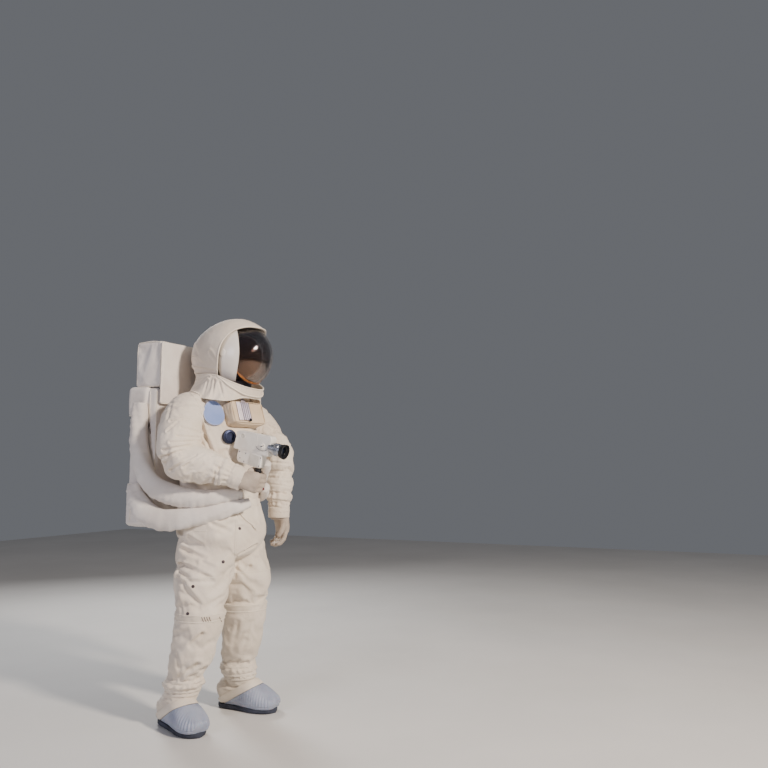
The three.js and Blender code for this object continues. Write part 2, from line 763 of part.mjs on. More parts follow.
// Left hand hangs relaxed
const leftEnd = sleeveEnd("left");
const leftRing = rod(
  leftEnd.centre.clone().addScaledVector(leftEnd.way, gap),
  leftEnd.centre.clone().addScaledVector(leftEnd.way, 16),
  50,
);
add("left_wrist_ring", leftRing, ringMetal);
add(
  "left_glove",
  hand({
    wrist: leftEnd.centre.clone().addScaledVector(leftEnd.way, 14),
    forward: vector(0.02, -0.06, -1).normalize(),
    thumbSide: vector(-0.35, -0.93, 0.05).normalize(),
    palm: vector(-0.93, 0.35, 0).normalize(),
    curls: [18, 48, 80],
    thumb: [[18, 26, -4], [46, 42, 8], [72, 46, 22], [96, 40, 36]],
  }).subtract(
    rod(
      leftEnd.centre.clone().addScaledVector(leftEnd.way, -60),
      leftEnd.centre.clone().addScaledVector(leftEnd.way, 16 + gap),
      140,
    ),
  ),
  gloveRubber,
);

const figure = new THREE.Group();
for (const mesh of nodes) figure.add(mesh);
figure.position.set(frameShift.x, frameShift.y, 0);

export default figure;
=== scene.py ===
import math
import time

import bmesh
import bpy
import numpy as np
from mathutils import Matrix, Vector, noise
from mathutils.bvhtree import BVHTree


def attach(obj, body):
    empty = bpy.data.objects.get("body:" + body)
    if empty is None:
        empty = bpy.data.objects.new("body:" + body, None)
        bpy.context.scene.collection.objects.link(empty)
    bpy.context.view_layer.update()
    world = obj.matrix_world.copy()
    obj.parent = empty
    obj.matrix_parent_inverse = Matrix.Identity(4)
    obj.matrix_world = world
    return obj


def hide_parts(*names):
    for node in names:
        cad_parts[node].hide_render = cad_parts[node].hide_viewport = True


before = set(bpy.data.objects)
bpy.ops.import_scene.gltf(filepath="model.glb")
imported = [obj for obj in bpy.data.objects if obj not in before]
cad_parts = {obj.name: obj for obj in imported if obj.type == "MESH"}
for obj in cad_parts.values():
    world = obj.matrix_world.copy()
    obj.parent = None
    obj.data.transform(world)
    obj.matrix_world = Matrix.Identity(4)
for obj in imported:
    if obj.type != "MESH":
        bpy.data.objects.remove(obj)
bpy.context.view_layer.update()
scene = bpy.context.scene
shift = np.array([6.0, 22.0, 0.0])

# Camera at the photograph's place: 1.18 m up, 3.9 m off, looking 6.4 degrees up
cameraData = bpy.data.cameras.new("photoCamera")
camera = bpy.data.objects.new("photoCamera", cameraData)
scene.collection.objects.link(camera)
cameraData.sensor_width = 36
cameraData.lens = 36.09
camera.location = (-3.127, -2.315, 1.18)
cameraPitch = math.radians(6.37)
headingAcross, headingAhead = 0.9063, 0.4226
levelShare = math.cos(cameraPitch)
cameraAim = Vector((levelShare * headingAcross, levelShare * headingAhead, math.sin(cameraPitch)))
camera.rotation_euler = cameraAim.to_track_quat("-Z", "Y").to_euler()
scene.camera = camera


# Linear colour from an sRGB hex code
def linear(code):
    channels = [int(code[i : i + 2], 16) / 255 for i in (1, 3, 5)]
    return tuple(c / 12.92 if c <= 0.04045 else ((c + 0.055) / 1.055) ** 2.4 for c in channels) + (1.0,)


# Adds a shader node with its settings, and links what feeds it
def addNode(tree, kind, settings=None, links=None):
    node = tree.nodes.new("ShaderNode" + kind)
    for key, value in (settings or {}).items():
        if isinstance(key, int) or key in node.inputs:
            node.inputs[key].default_value = value
        else:
            setattr(node, key, value)
    for socket, source in (links or {}).items():
        tree.links.new(source, node.inputs[socket])
    return node


# A material with its shader's own values set, ready for nodes
def newMaterial(name, colour, **values):
    material = bpy.data.materials.new(name)
    material.use_nodes = True
    tree = material.node_tree
    shader = tree.nodes["Principled BSDF"]
    shader.inputs["Base Color"].default_value = linear(colour)
    for key, value in values.items():
        shader.inputs[key.replace("_", " ")].default_value = value
    place = addNode(tree, "TexCoord").outputs["Object"]
    return material, tree, shader, place


# Two tones mixed by soft noise, linked to the shader's colour
def mottle(tree, shader, place, light, dark, scale):
    cloud = addNode(tree, "TexNoise", {"Scale": scale, "Detail": 5.0, "Roughness": 0.6}, {"Vector": place})
    ramp = addNode(tree, "ValToRGB", links={"Fac": cloud.outputs["Fac"]})
    for stop, position, tone in zip(ramp.color_ramp.elements, (0.35, 0.7), (dark, light)):
        stop.position = position
        stop.color = linear(tone)
    tree.links.new(ramp.outputs["Color"], shader.inputs["Base Color"])


# Bump layers from coarse to fine: each a height output and its depth in metres
def bump(tree, shader, layers):
    normal = None
    for height, depth, strength in layers:
        links = {"Height": height}
        if normal:
            links["Normal"] = normal
        node = addNode(tree, "Bump", {"Distance": depth, "Strength": strength}, links)
        normal = node.outputs["Normal"]
    tree.links.new(normal, shader.inputs["Normal"])


def grainNode(tree, place, scale, detail):
    return addNode(tree, "TexNoise", {"Scale": scale, "Detail": detail}, {"Vector": place})


# Material of two mottled tones with bumpy grain. Columns of grain: scale, detail, depth in metres, strength
def mottledMaterial(name, colour, light, dark, cloud, grain=(), **values):
    material, tree, shader, place = newMaterial(name, colour, **values)
    mottle(tree, shader, place, light, dark, cloud)
    layers = [
        (grainNode(tree, place, scale, detail).outputs["Fac"], depth, strength)
        for scale, detail, depth, strength in grain
    ]
    if layers:
        bump(tree, shader, layers)
    return material


# Uneven polish: roughness that wanders between two values
def wornPolish(tree, shader, place, scale, detail, high, smoothest, roughest):
    cloud = grainNode(tree, place, scale, detail)
    ramp = addNode(tree, "MapRange", {1: 0.3, 2: high, 3: smoothest, 4: roughest}, {0: cloud.outputs["Fac"]})
    tree.links.new(ramp.outputs[0], shader.inputs["Roughness"])


# Woven glass cloth: matt with a faint sheen, a 1.6 mm weave, soft crumples and finer pinched creases
def clothMaterial(name, light, dark, crumple=0.5, creases=0.45):
    material, tree, shader, place = newMaterial(
        name, light, Roughness=0.82, Sheen_Weight=0.22, Sheen_Roughness=0.45, Specular_IOR_Level=0.3
    )
    mottle(tree, shader, place, light, dark, 5.0)
    softSettings = {"Scale": 26.0, "Detail": 4.0, "Roughness": 0.5, "Distortion": 0.6}
    soft = addNode(tree, "TexNoise", softSettings, {"Vector": place})
    pinchSettings = {"noise_type": "RIDGED_MULTIFRACTAL", "Scale": 17.0, "Detail": 3.0, "Roughness": 0.45}
    pinchSettings.update({"Distortion": 0.8, "normalize": True})
    pinch = addNode(tree, "TexNoise", pinchSettings, {"Vector": place})
    weave = grainNode(tree, place, 620.0, 1.0)
    layers = [(soft, 0.006, crumple), (pinch, 0.004, creases), (weave, 0.0008, 0.5)]
    bump(tree, shader, [(node.outputs["Fac"], depth, strength) for node, depth, strength in layers])
    return material


suitCloth = clothMaterial("glassClothWornSuit", "#eadfd1", "#dacdbd")
packCloth = clothMaterial("glassClothPackCover", "#e6e0da", "#d5cdc6", 0.35, 0.3)
pipingCloth = clothMaterial("twillPipingCord", "#efe7da", "#e0d5c6", 0.1, 0.1)

print("camera and cloth ready")


# Smooth curve through table rows, evaluated at fractions 0 to 1 of the row count
def through(rows, fractions):
    rows = np.asarray(rows, float)
    last = len(rows) - 1
    padded = np.vstack([2 * rows[0] - rows[1], rows, 2 * rows[-1] - rows[-2]])
    along = np.clip(np.asarray(fractions, float), 0, 1) * last
    cell = np.minimum(along.astype(int), last - 1)
    t = (along - cell)[:, None]
    p0, p1, p2, p3 = (padded[cell + k] for k in range(4))
    return 0.5 * (
        2 * p1 + (p2 - p0) * t + (2 * p0 - 5 * p1 + 4 * p2 - p3) * t**2 + (3 * p1 - p0 - 3 * p2 + p3) * t**3
    )


def roundTurns(count):
    return np.linspace(0, 2 * np.pi, count, endpoint=False)


# Points of a soft tube through a table of x, y, z, half width, half depth
def tubePoints(table, rings, sides, side=(1, 0, 0), square=2.0, level=False):
    fractions = np.linspace(0, 1, rings)
    rows = through(table, fractions)
    centre = rows[:, :3]
    tangent = np.gradient(centre, axis=0)
    if level:
        tangent = np.tile([0, 0, np.sign(centre[-1, 2] - centre[0, 2])], (rings, 1))
    tangent = tangent / np.linalg.norm(tangent, axis=1)[:, None]
    side = np.asarray(side, float)
    across = np.cross(tangent, side)
    across /= np.linalg.norm(across, axis=1)[:, None]
    outward = np.cross(across, tangent)
    angle = roundTurns(sides)
    bend = lambda v: np.sign(v) * np.abs(v) ** (2 / square)
    c = bend(np.cos(angle))[None, :, None]
    s = bend(np.sin(angle))[None, :, None]
    return (
        centre[:, None]
        + outward[:, None] * rows[:, 3, None, None] * c
        + across[:, None] * rows[:, 4, None, None] * s
    )


# Quads of a grid of rings, closed round and capped at both ends by one face each
def gridFaces(rings, sides, capped=True):
    i = np.arange(rings - 1)[:, None]
    j = np.arange(sides)[None, :]
    k = (j + 1) % sides
    quads = np.stack([i * sides + j, i * sides + k, (i + 1) * sides + k, (i + 1) * sides + j], -1)
    faces = quads.reshape(-1, 4).tolist()
    if capped:
        faces.append(list(range(sides))[::-1])
        faces.append([(rings - 1) * sides + n for n in range(sides)])
    return faces


# New object from points in millimetres in the figure's frame
def newObject(name, points, faces, material, smooth=True):
    mesh = bpy.data.meshes.new(name)
    place = (np.asarray(points, float).reshape(-1, 3) + shift) / 1000
    mesh.from_pydata(place.tolist(), [], faces)
    mesh.validate()
    obj = bpy.data.objects.new(name, mesh)
    scene.collection.objects.link(obj)
    fixNormals(obj)
    if smooth:
        mesh.polygons.foreach_set("use_smooth", [True] * len(mesh.polygons))
    if material:
        mesh.materials.append(material)
    return obj


def fixNormals(obj):
    work = bmesh.new()
    work.from_mesh(obj.data)
    bmesh.ops.recalc_face_normals(work, faces=work.faces)
    work.to_mesh(obj.data)
    work.free()


def tubeObject(name, table, rings, sides, material=None, **options):
    points = tubePoints(table, rings, sides, **options)
    return newObject(name, points, gridFaces(rings, sides), material)


def meshPoints(obj):
    flat = np.empty(len(obj.data.vertices) * 3, np.float32)
    obj.data.vertices.foreach_get("co", flat)
    return flat.reshape(-1, 3).astype(float)


def setPoints(obj, points):
    obj.data.vertices.foreach_set("co", np.asarray(points, np.float32).ravel())
    obj.data.update()


# A piece's points in millimetres in the figure's own frame
def formOf(obj):
    return meshPoints(obj) * 1000 - shift


def setForm(obj, points):
    setPoints(obj, (points + shift) / 1000)


def dress(obj, material):
    obj.data.materials.clear()
    obj.data.materials.append(material)


def addModifier(obj, kind, **settings):
    modifier = obj.modifiers.new(kind.title(), kind)
    for key, value in settings.items():
        setattr(modifier, key, value)
    return modifier


# Turns the modifiers into plain mesh
def applyAll(obj):
    graph = bpy.context.evaluated_depsgraph_get()
    graph.update()
    mesh = bpy.data.meshes.new_from_object(obj.evaluated_get(graph))
    old = obj.data
    obj.modifiers.clear()
    obj.data = mesh
    bpy.data.meshes.remove(old)
    mesh.name = obj.name
    mesh.polygons.foreach_set("use_smooth", [True] * len(mesh.polygons))
    return obj


# Shell of a sheet; offset -1 grows inwards
def thicken(obj, thickness, offset=-1):
    addModifier(obj, "SOLIDIFY", thickness=thickness, offset=offset)
    applyAll(obj)


def subdivide(obj):
    addModifier(obj, "SUBSURF", levels=1)
    applyAll(obj)


def splitEdges(obj, degrees):
    addModifier(obj, "EDGE_SPLIT", split_angle=math.radians(degrees))
    applyAll(obj)


def smoothOut(obj, times):
    addModifier(obj, "SMOOTH", factor=0.5, iterations=times)
    applyAll(obj)


# Joins objects into the first one
def joinObjects(objects):
    base = objects[0]
    chosen = {"selected_objects": objects, "selected_editable_objects": objects}
    with bpy.context.temp_override(active_object=base, object=base, **chosen):
        bpy.ops.object.join()
    return base


def remesh(obj, voxel, smoothing):
    addModifier(obj, "REMESH", mode="VOXEL", voxel_size=voxel / 1000, use_smooth_shade=True)
    applyAll(obj)
    smoothOut(obj, smoothing)


# Attaches a piece to the body it moves with and hides the solids that it dresses; slot is not used
def finishPiece(obj, body, slot, *nodes):
    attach(obj, body)
    if nodes:
        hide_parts(*nodes)
    return obj


# Bell of height 1 round a level, and a soft step that falls from 1 to 0 past it
def hump(values, level, width):
    return np.exp(-(((values - level) / width) ** 2))


def below(values, level, width):
    return 1 / (1 + np.exp((values - level) / width))


def unit(vector):
    return vector / np.linalg.norm(vector)


# Points spaced evenly by number along a smooth curve through a few places
def smoothPath(places, count):
    return through(places, np.linspace(0, 1, count))


# Length walked along a path at each of its points
def lengthsAlong(path):
    return np.concatenate([[0], np.cumsum(np.linalg.norm(np.diff(path, axis=0), axis=1))])


# Two directions square to a line or to each of several lines
def squareTo(way, guide):
    first = np.cross(way, guide)
    first /= np.linalg.norm(first, axis=-1, keepdims=True)
    return first, np.cross(way, first)


# Quads of an open grid
def sheetFaces(rows, columns):
    i = np.arange(rows - 1)[:, None]
    j = np.arange(columns - 1)[None, :]
    corner, above = i * columns + j, (i + 1) * columns + j
    return np.stack([corner, corner + 1, above + 1, above], -1).reshape(-1, 4).tolist()


sewnOn = ("suit", "suit_fabric")


# Round cord or piping along a path in millimetres. belongs says its body, slot and solids
def piping(name, path, radius, material, sides=8, closed=False, belongs=sewnOn):
    path = np.asarray(path, float)
    count = len(path)
    if closed:
        tangent = np.roll(path, -1, 0) - np.roll(path, 1, 0)
    else:
        tangent = np.gradient(path, axis=0)
    tangent /= np.maximum(np.linalg.norm(tangent, axis=1)[:, None], 1e-9)
    first, second = squareTo(tangent, [0.31, 0.17, 0.93])
    angle = roundTurns(sides)[None, :, None]
    points = path[:, None] + radius * (first[:, None] * np.cos(angle) + second[:, None] * np.sin(angle))
    faces = gridFaces(count, sides, not closed)
    if closed:
        last = (count - 1) * sides
        faces += [[last + j, last + (j + 1) % sides, (j + 1) % sides, j] for j in range(sides)]
    return finishPiece(newObject(name, points, faces, material), *belongs)


# Turned part: profile of radius and place along, swept round an axis and closed at both ends
def turned(name, start, way, profile, material, sides, belongs):
    way = np.asarray(way, float) / np.linalg.norm(way)
    first, second = squareTo(way, [0.2, 0.1, 1.0])
    angle = roundTurns(sides)[:, None]
    around = np.cos(angle) * first + np.sin(angle) * second
    start = np.asarray(start, float)
    points = [start + way * along + around * max(radius, 0.05) for radius, along in profile]
    obj = newObject(name, points, gridFaces(len(profile), sides), material)
    splitEdges(obj, 38)
    return finishPiece(obj, *belongs)


# Pushes the cloth of a piece from its larger cut shape into its place, so it buckles into folds.
# hold is how firmly each point keeps its place, from 0 to 1; limit is how far one may move, in mm.
def settle(obj, cutPoints, hold, limit, bending=1.5, growth=0.0):
    squeeze, frames, stiffness = 12, 24, 18
    target = meshPoints(obj)
    group = obj.vertex_groups.new(name="hold")
    levels = np.clip(np.round(np.asarray(hold), 2), 0, 1)
    for level in np.unique(levels):
        group.add(np.nonzero(levels == level)[0].tolist(), float(level), "REPLACE")
    setForm(obj, cutPoints)
    obj.shape_key_add(name="Basis")
    key = obj.shape_key_add(name="worn")
    key.data.foreach_set("co", target.astype(np.float32).ravel())
    for moment, value in [(1, 0.0), (squeeze, 1.0)]:
        key.value = value
        key.keyframe_insert("value", frame=moment)
    cloth = addModifier(obj, "CLOTH")
    values = cloth.settings
    values.quality = 5
    values.mass = 0.3
    values.air_damping = 4
    values.tension_stiffness = stiffness
    values.compression_stiffness = stiffness
    values.shear_stiffness = stiffness / 2
    values.bending_stiffness = bending
    values.tension_damping = 8
    values.compression_damping = 8
    values.vertex_group_mass = "hold"
    values.pin_stiffness = 1.0
    values.shrink_min = -growth
    values.effector_weights.gravity = 0.4
    cloth.collision_settings.use_collision = False
    cloth.point_cache.frame_start = 1
    cloth.point_cache.frame_end = frames
    scene.frame_set(1)
    for step in range(1, frames + 1):
        scene.frame_set(step)
    graph = bpy.context.evaluated_depsgraph_get()
    moved = obj.evaluated_get(graph).to_mesh()
    flat = np.empty(len(moved.vertices) * 3, np.float32)
    moved.vertices.foreach_get("co", flat)
    obj.evaluated_get(graph).to_mesh_clear()
    obj.modifiers.clear()
    obj.data.shape_keys.animation_data_clear()
    obj.shape_key_clear()
    scene.frame_set(1)
    change = flat.reshape(-1, 3) - target
    reach = np.linalg.norm(change, axis=1, keepdims=True)
    soft = limit / 1000 * np.tanh(reach / (limit / 1000)) / np.maximum(reach, 1e-9)
    setPoints(obj, target + change * soft)


# Moves points a little by smooth noise; the scale is in cycles per millimetre, for all axes or for each
def wobble(points, scale, amount, seed):
    spots = points * np.asarray(scale) + seed * 17.3
    push = np.array([list(noise.noise_vector(Vector(p))) for p in spots])
    return points + push * amount


# Scattered tack points where worn cloth sticks to what is under it: hold values for each point
def tacks(points, count, reach, firmness, seed):
    random = np.random.default_rng(seed)
    centres = points[random.integers(0, len(points), count)]
    hold = np.zeros(len(points))
    for centre in centres:
        away = np.linalg.norm(points - centre, axis=1)
        hold = np.maximum(hold, firmness * np.exp(-((away / reach) ** 2)))
    return hold


def normalsOf(obj):
    flat = np.empty(len(obj.data.vertices) * 3, np.float32)
    obj.data.vertex_normals.foreach_get("vector", flat)
    return flat.reshape(-1, 3).astype(float)


# One surface of several pieces, for laying others on it
def surfaceOfAll(objects):
    verts, polys, base = [], [], 0
    for obj in objects:
        verts += [v.co for v in obj.data.vertices]
        polys += [[base + n for n in p.vertices] for p in obj.data.polygons]
        base = len(verts)
    return BVHTree.FromPolygons(verts, polys)


def surfaceOf(obj):
    return surfaceOfAll([obj])


# Direction from the camera through a place in the 768 by 768 photograph
cameraTurn = camera.rotation_euler.to_matrix()
photoHalf = 384


def sightLine(column, row):
    half = photoHalf / (cameraData.lens / cameraData.sensor_width * 2 * photoHalf)
    across, up = (column / photoHalf - 1) * half, (1 - row / photoHalf) * half
    return cameraTurn @ Vector((across, up, -1)).normalized()


# Where a place in the photograph lies on a surface: point and normal in metres, or None
def seen(surface, column, row):
    point, normal = surface.ray_cast(camera.location, sightLine(column, row))[:2]
    return (np.array(point), np.array(normal)) if point else None


def towardsCamera(spot, normal):
    return normal if np.dot(normal, camera.location - Vector(spot)) > 0 else -normal


# Points along a line in the photograph, laid on the surface
def seenLine(surface, places, step):
    found = []
    for (x0, y0), (x1, y1) in zip(places[:-1], places[1:]):
        count = max(2, int(math.hypot(x1 - x0, y1 - y0) / step) + 1)
        for k in range(count):
            hit = seen(surface, x0 + (x1 - x0) * k / count, y0 + (y1 - y0) * k / count)
            if hit:
                found.append(hit)
    hit = seen(surface, *places[-1])
    if hit:
        found.append(hit)
    return found


# Presses folds into a piece along lines in the photograph. Columns: from column, row, to column, row,
# depth and width in millimetres. The hollow runs out towards the second end and has a ridge beside it.
def pressFolds(obj, lines):
    surface = surfaceOf(obj)
    points = meshPoints(obj)
    normals = normalsOf(obj)
    push = np.zeros(len(points))
    for x0, y0, x1, y1, depth, width in lines:
        found = seenLine(surface, [(x0, y0), (x1, y1)], 0.8)
        if len(found) < 2:
            continue
        spots = np.array([f[0] for f in found])
        near = np.nonzero(np.linalg.norm(points - spots.mean(0), axis=1) < 0.3)[0]
        away = np.linalg.norm(points[near][:, None] - spots[None], axis=2)
        best = away.argmin(1)
        away = away[np.arange(len(near)), best] / (width / 1000)
        fade = 1 - 0.6 * best / (len(spots) - 1)
        facing = np.clip((normals[near] @ np.array([f[1] for f in found]).mean(0)) * 2 + 0.4, 0, 1)
        above = 1 / (1 + np.exp((spots[best][:, 2] - points[near][:, 2]) / (0.0004 * width)))
        lip = (0.25 + 0.55 * above) * hump(away, 1.7, 0.95)
        push[near] += 1.1 * depth / 1000 * fade * facing * (lip - np.exp(-(away**2)))
    setPoints(obj, points + normals * push[:, None])


# Trousers: hips and both legs as one garment. Columns: x, y, z, half width, half depth
waistLevel, ankleLevel, kneeTop, kneeFoot = 1050, 200, 524, 494
hipsTable = [
    [0, 8, 742, 70, 60], [0, 2, 762, 130, 100], [0, 0, 795, 186, 152], [0, 0, 860, 220, 186],
    [0, 4, 940, 220, 190], [0, 14, 1010, 206, 180], [0, 16, 1050, 200, 176],
]
rightLegTable = [
    [-98, 8, 880, 108, 150], [-112, 10, 780, 128, 146], [-126, 10, 690, 130, 136],
    [-140, 5, 610, 124, 126], [-150, 0, 541, 116, 118], [-152, 2, 499, 113, 116],
    [-158, 14, 420, 105, 109], [-163, 34, 330, 97, 103], [-161, 62, 255, 86, 92], [-158, 76, 200, 82, 88],
]
leftLegTable = [
    [98, -4, 880, 108, 148], [112, -28, 780, 128, 140], [122, -46, 690, 128, 132],
    [134, -48, 610, 122, 124], [146, -36, 541, 114, 116], [148, -33, 499, 111, 114],
    [158, -24, 420, 103, 106], [168, -8, 330, 95, 99], [180, 12, 255, 84, 90], [184, 20, 200, 82, 88],
]


# Centre of a leg at given heights, from its table
def legAxis(table, heights):
    rows = np.asarray(table, float)[::-1]
    return np.stack([np.interp(heights, rows[:, 2], rows[:, k]) for k in (0, 1)], -1)


started = time.time()
hips = tubeObject("suit_trousers", hipsTable, 30, 60, square=2.2, level=True)
legs = [tubeObject("leg", table, 60, 48, level=True) for table in (rightLegTable, leftLegTable)]
trousers = joinObjects([hips, *legs])
remesh(trousers, 13, 2)
points = formOf(trousers)
height = points[:, 2]
isLeg = below(height, 810, 18)
axisRight = legAxis(rightLegTable, height)
axisLeft = legAxis(leftLegTable, height)
axis = np.where((points[:, 0] < 0)[:, None], axisRight, axisLeft) * isLeg[:, None]
rest = points.copy()
rest[:, :2] += (points[:, :2] - axis) * 0.03
rest[:, 2] = waistLevel - (waistLevel - height) * 1.11
calm = below(height, 520, 14)
hold = np.maximum(0.05, tacks(points, 56, 30, 0.55, 5) * (1 - 0.8 * calm))
hold = np.maximum(hold, 0.2 * calm)
for level, width in [(waistLevel, 22), (ankleLevel, 14), (kneeTop, 9), (kneeFoot, 9)]:
    hold = np.maximum(hold, hump(height, level, width))
setForm(trousers, wobble(points, [0.006, 0.006, 0.016], 2.5, 3))
settle(trousers, rest, hold, limit=26, bending=2)
subdivide(trousers)
trouserFolds = [
    (189, 537, 201, 544, 9, 9), (181, 548, 204, 559, 12, 10), (181, 564, 210, 578, 13, 10),
    (202, 562, 214, 567, 6, 8), (180, 573, 190, 579, 10, 9), (183, 582, 213, 582, 8, 9),
    (177, 577, 199, 604, 12, 11), (179, 597, 182, 614, 6, 8), (191, 605, 199, 609, 6, 8),
    (176, 634, 187, 631, 10, 12), (202, 634, 190, 645, 9, 9), (177, 655, 181, 680, 6, 9),
    (197, 664, 180, 678, 10, 11), (204, 667, 190, 688, 8, 10), (250, 566, 243, 575, 7, 8),
    (256, 545, 236, 556, 7, 8), (238, 622, 233, 650, 4.5, 11), (246, 640, 240, 660, 4, 11),
    (212, 524, 231, 532, 8, 9), (236, 568, 246, 578, 6, 8),
]
pressFolds(trousers, trouserFolds)
dress(trousers, suitCloth)
legNodes = [side + part for side in ("right", "left") for part in ("_thigh", "_knee_band", "_shin")]
finishPiece(trousers, *sewnOn, "hips", *legNodes)
print("trousers ready", len(trousers.data.vertices), round(time.time() - started, 1))


# Upper suit: torso and both sleeves. Columns: x, y, z, half width, half depth
torsoTable = [
    [0, 14, 985, 200, 174], [0, 18, 1090, 202, 176], [0, 26, 1180, 212, 182], [0, 38, 1280, 226, 186],
    [0, 48, 1370, 234, 182], [0, 56, 1440, 228, 168], [0, 54, 1495, 200, 152], [0, 30, 1538, 156, 128],
    [0, -10, 1566, 120, 116],
]
armTables = {
    "right": {
        "upper": [
            [-112, 56, 1478, 56, 62], [-186, 60, 1468, 92, 88], [-240, 58, 1420, 100, 98],
            [-274, 48, 1350, 98, 107], [-288, 42, 1285, 95, 108], [-288, 42, 1236, 72, 84],
        ],
        "fore": [
            [-296, 88, 1258, 56, 56], [-288, 40, 1246, 98, 98], [-256, -46, 1212, 94, 94],
            [-226, -112, 1190, 72, 74], [-213, -134, 1181, 62, 66], [-202, -152, 1172, 67, 71],
            [-188, -174, 1162, 52, 54], [-178, -190, 1154, 56, 58], [-165, -211, 1144, 55, 57],
        ],
    },
    "left": {
        "upper": [
            [112, 48, 1478, 56, 62], [188, 30, 1466, 90, 90], [240, -14, 1420, 96, 96],
            [276, -72, 1350, 90, 90], [296, -116, 1288, 84, 84], [300, -128, 1248, 60, 60],
        ],
        "fore": [
            [296, -110, 1326, 44, 44], [299, -124, 1272, 80, 80], [302, -134, 1190, 74, 74],
            [300, -137, 1100, 69, 69], [299, -137, 1062, 60, 60], [298, -137, 1036, 66, 66],
            [298, -137, 1008, 54, 54], [297, -137, 990, 57, 57], [296, -137, 957, 56, 56],
        ],
    },
}

torso = tubeObject("suit_torso", torsoTable, 44, 72, square=2.3, level=True)
remesh(torso, 13.5, 2)
points = formOf(torso)
height = points[:, 2]
cut = points.copy()
torsoMiddle = 1280
cut[:, 2] = torsoMiddle + (height - torsoMiddle) * 1.07
cut[:, :2] *= 1.02
hold = np.maximum(0.06, tacks(points, 40, 34, 0.6, 11))
for level, width in [(985, 24), (1566, 30)]:
    hold = np.maximum(hold, hump(height, level, width))
settle(torso, wobble(cut, [0.008, 0.008, 0.014], 2, 5), hold, limit=18, bending=2)
subdivide(torso)
torsoFolds = [
    (199, 420, 214, 460, 10, 10), (206, 436, 216, 462, 6, 8), (219, 462, 228, 480, 7, 10),
    (238, 505, 250, 498, 8, 9), (196, 470, 222, 500, 7, 12),
]
pressFolds(torso, torsoFolds)
dress(torso, suitCloth)
finishPiece(torso, *sewnOn, "torso")

sleeveFolds = {
    "right": [
        (170, 421, 188, 419.3, 7, 5), (167, 431, 178, 421.8, 7, 5), (181, 427.5, 201, 433, 5, 6),
        (177, 436, 201, 438, 5, 5), (170, 442.5, 203, 441, 6, 6), (163, 450, 201, 443.5, 7, 6),
        (162, 457, 184, 450.5, 8, 7), (165, 463, 178, 455.5, 9, 8), (171, 470, 196, 456, 8, 7),
        (183, 467, 204, 454, 7, 6), (197, 487, 214, 476, 5, 7), (186, 482, 206, 486, 6, 8),
        (168, 418, 172, 402, 4, 8), (213.5, 482, 215.5, 466, 6, 5), (217.5, 486, 218.5, 468, 5, 5),
    ],
    "left": [
        (270, 412, 280, 424, 3.9, 6), (268, 425, 284, 434, 4.4, 6), (272, 438, 287, 444, 3.9, 6),
        (271, 462, 291, 464, 4.4, 5.2), (271, 470, 292, 472, 3.3, 4.5), (270, 477, 293, 479, 4.4, 5.2),
        (270, 484, 292, 487, 3.3, 4.5), (269, 491, 292, 495, 4.4, 5.2), (268, 499, 291, 502, 5, 5.2),
        (268, 505, 288, 509, 4.4, 4.5),
    ],
}
sleeves = {}
for side, sign, elbow in [("right", -1, (-288, 40, 1250)), ("left", 1, (300, -126, 1270))]:
    rows = armTables[side]
    upperArm = tubeObject("sleeve_" + side, rows["upper"], 40, 44, side=(0, 1, 0))
    foreArm = tubeObject("fore" + side, rows["fore"], 44, 44, side=(0, 1, 0))
    sleeve = joinObjects([upperArm, foreArm])
    remesh(sleeve, 9, 3)
    points = formOf(sleeve)
    elbow = np.array(elbow, float)
    shoulder = np.array(rows["upper"][1][:3], float)
    wrist = np.array(rows["fore"][-1][:3], float)
    up, down = unit(shoulder - elbow), unit(wrist - elbow)
    away = points - elbow
    isFore = 1 / (1 + np.exp(-((away @ down) - (away @ up)) / 22))[:, None]
    alongUp, alongDown = (away @ up)[:, None] * up, (away @ down)[:, None] * down
    cut = points + 0.12 * (alongUp * (1 - isFore) + alongDown * isFore)
    near = below(np.linalg.norm(points - elbow, axis=1), 130, 25)
    hold = np.maximum(0.06, tacks(points, 34, 24, 0.5, 20 + sign) * (0.25 + 0.75 * near))
    hold = np.maximum(hold, 0.3 * (1 - near))
    toWrist = (points - wrist) @ down
    hold = np.maximum(hold, hump(toWrist, 0, 10))
    hold = np.maximum(hold, 0.8 * hump(toWrist, -45, 8))
    hold = np.maximum(hold, 0.5 / (1 + np.exp(-(toWrist + 36) / 4)))
    hold = np.maximum(hold, below(np.abs(points[:, 0]), 175, 8))
    settle(sleeve, wobble(cut, [0.007, 0.007, 0.02], 3, 9 + sign), hold, limit=20, growth=0.01)
    subdivide(sleeve)
    pressFolds(sleeve, sleeveFolds[side])
    points = formOf(sleeve)
    away = points - wrist
    along = away @ down
    flat = away - along[:, None] * down
    reach = np.linalg.norm(flat, axis=1)
    first, second = squareTo(down, [0, 0, 1.0])
    turn = np.arctan2(flat @ second, flat @ first)
    gather = hump(along, -50, 14) * (np.cos(14 * turn + 1.5 * np.sin(3 * turn)) * 3.5)
    gather += hump(along, -96, 22) * (np.cos(11 * turn + 2 * np.sin(2 * turn)) * 4.0)
    gather += hump(along, -30, 5) * 1.2 - hump(along, -23, 3) * 1.0
    nearHand = along > -150
    points += np.where(nearHand, gather, 0)[:, None] * flat / np.maximum(reach, 1)[:, None]
    setForm(sleeve, points)
    dress(sleeve, suitCloth)
    finishPiece(sleeve, *sewnOn, side + "_upper_arm", side + "_forearm")
    sleeves[side] = sleeve
print("torso and sleeves ready", round(time.time() - started, 1))


# Helmet: hood cover, visors, shades and the bubble turn about one line through the ears
hub = np.array([0.0, -90.0, 1740.0])


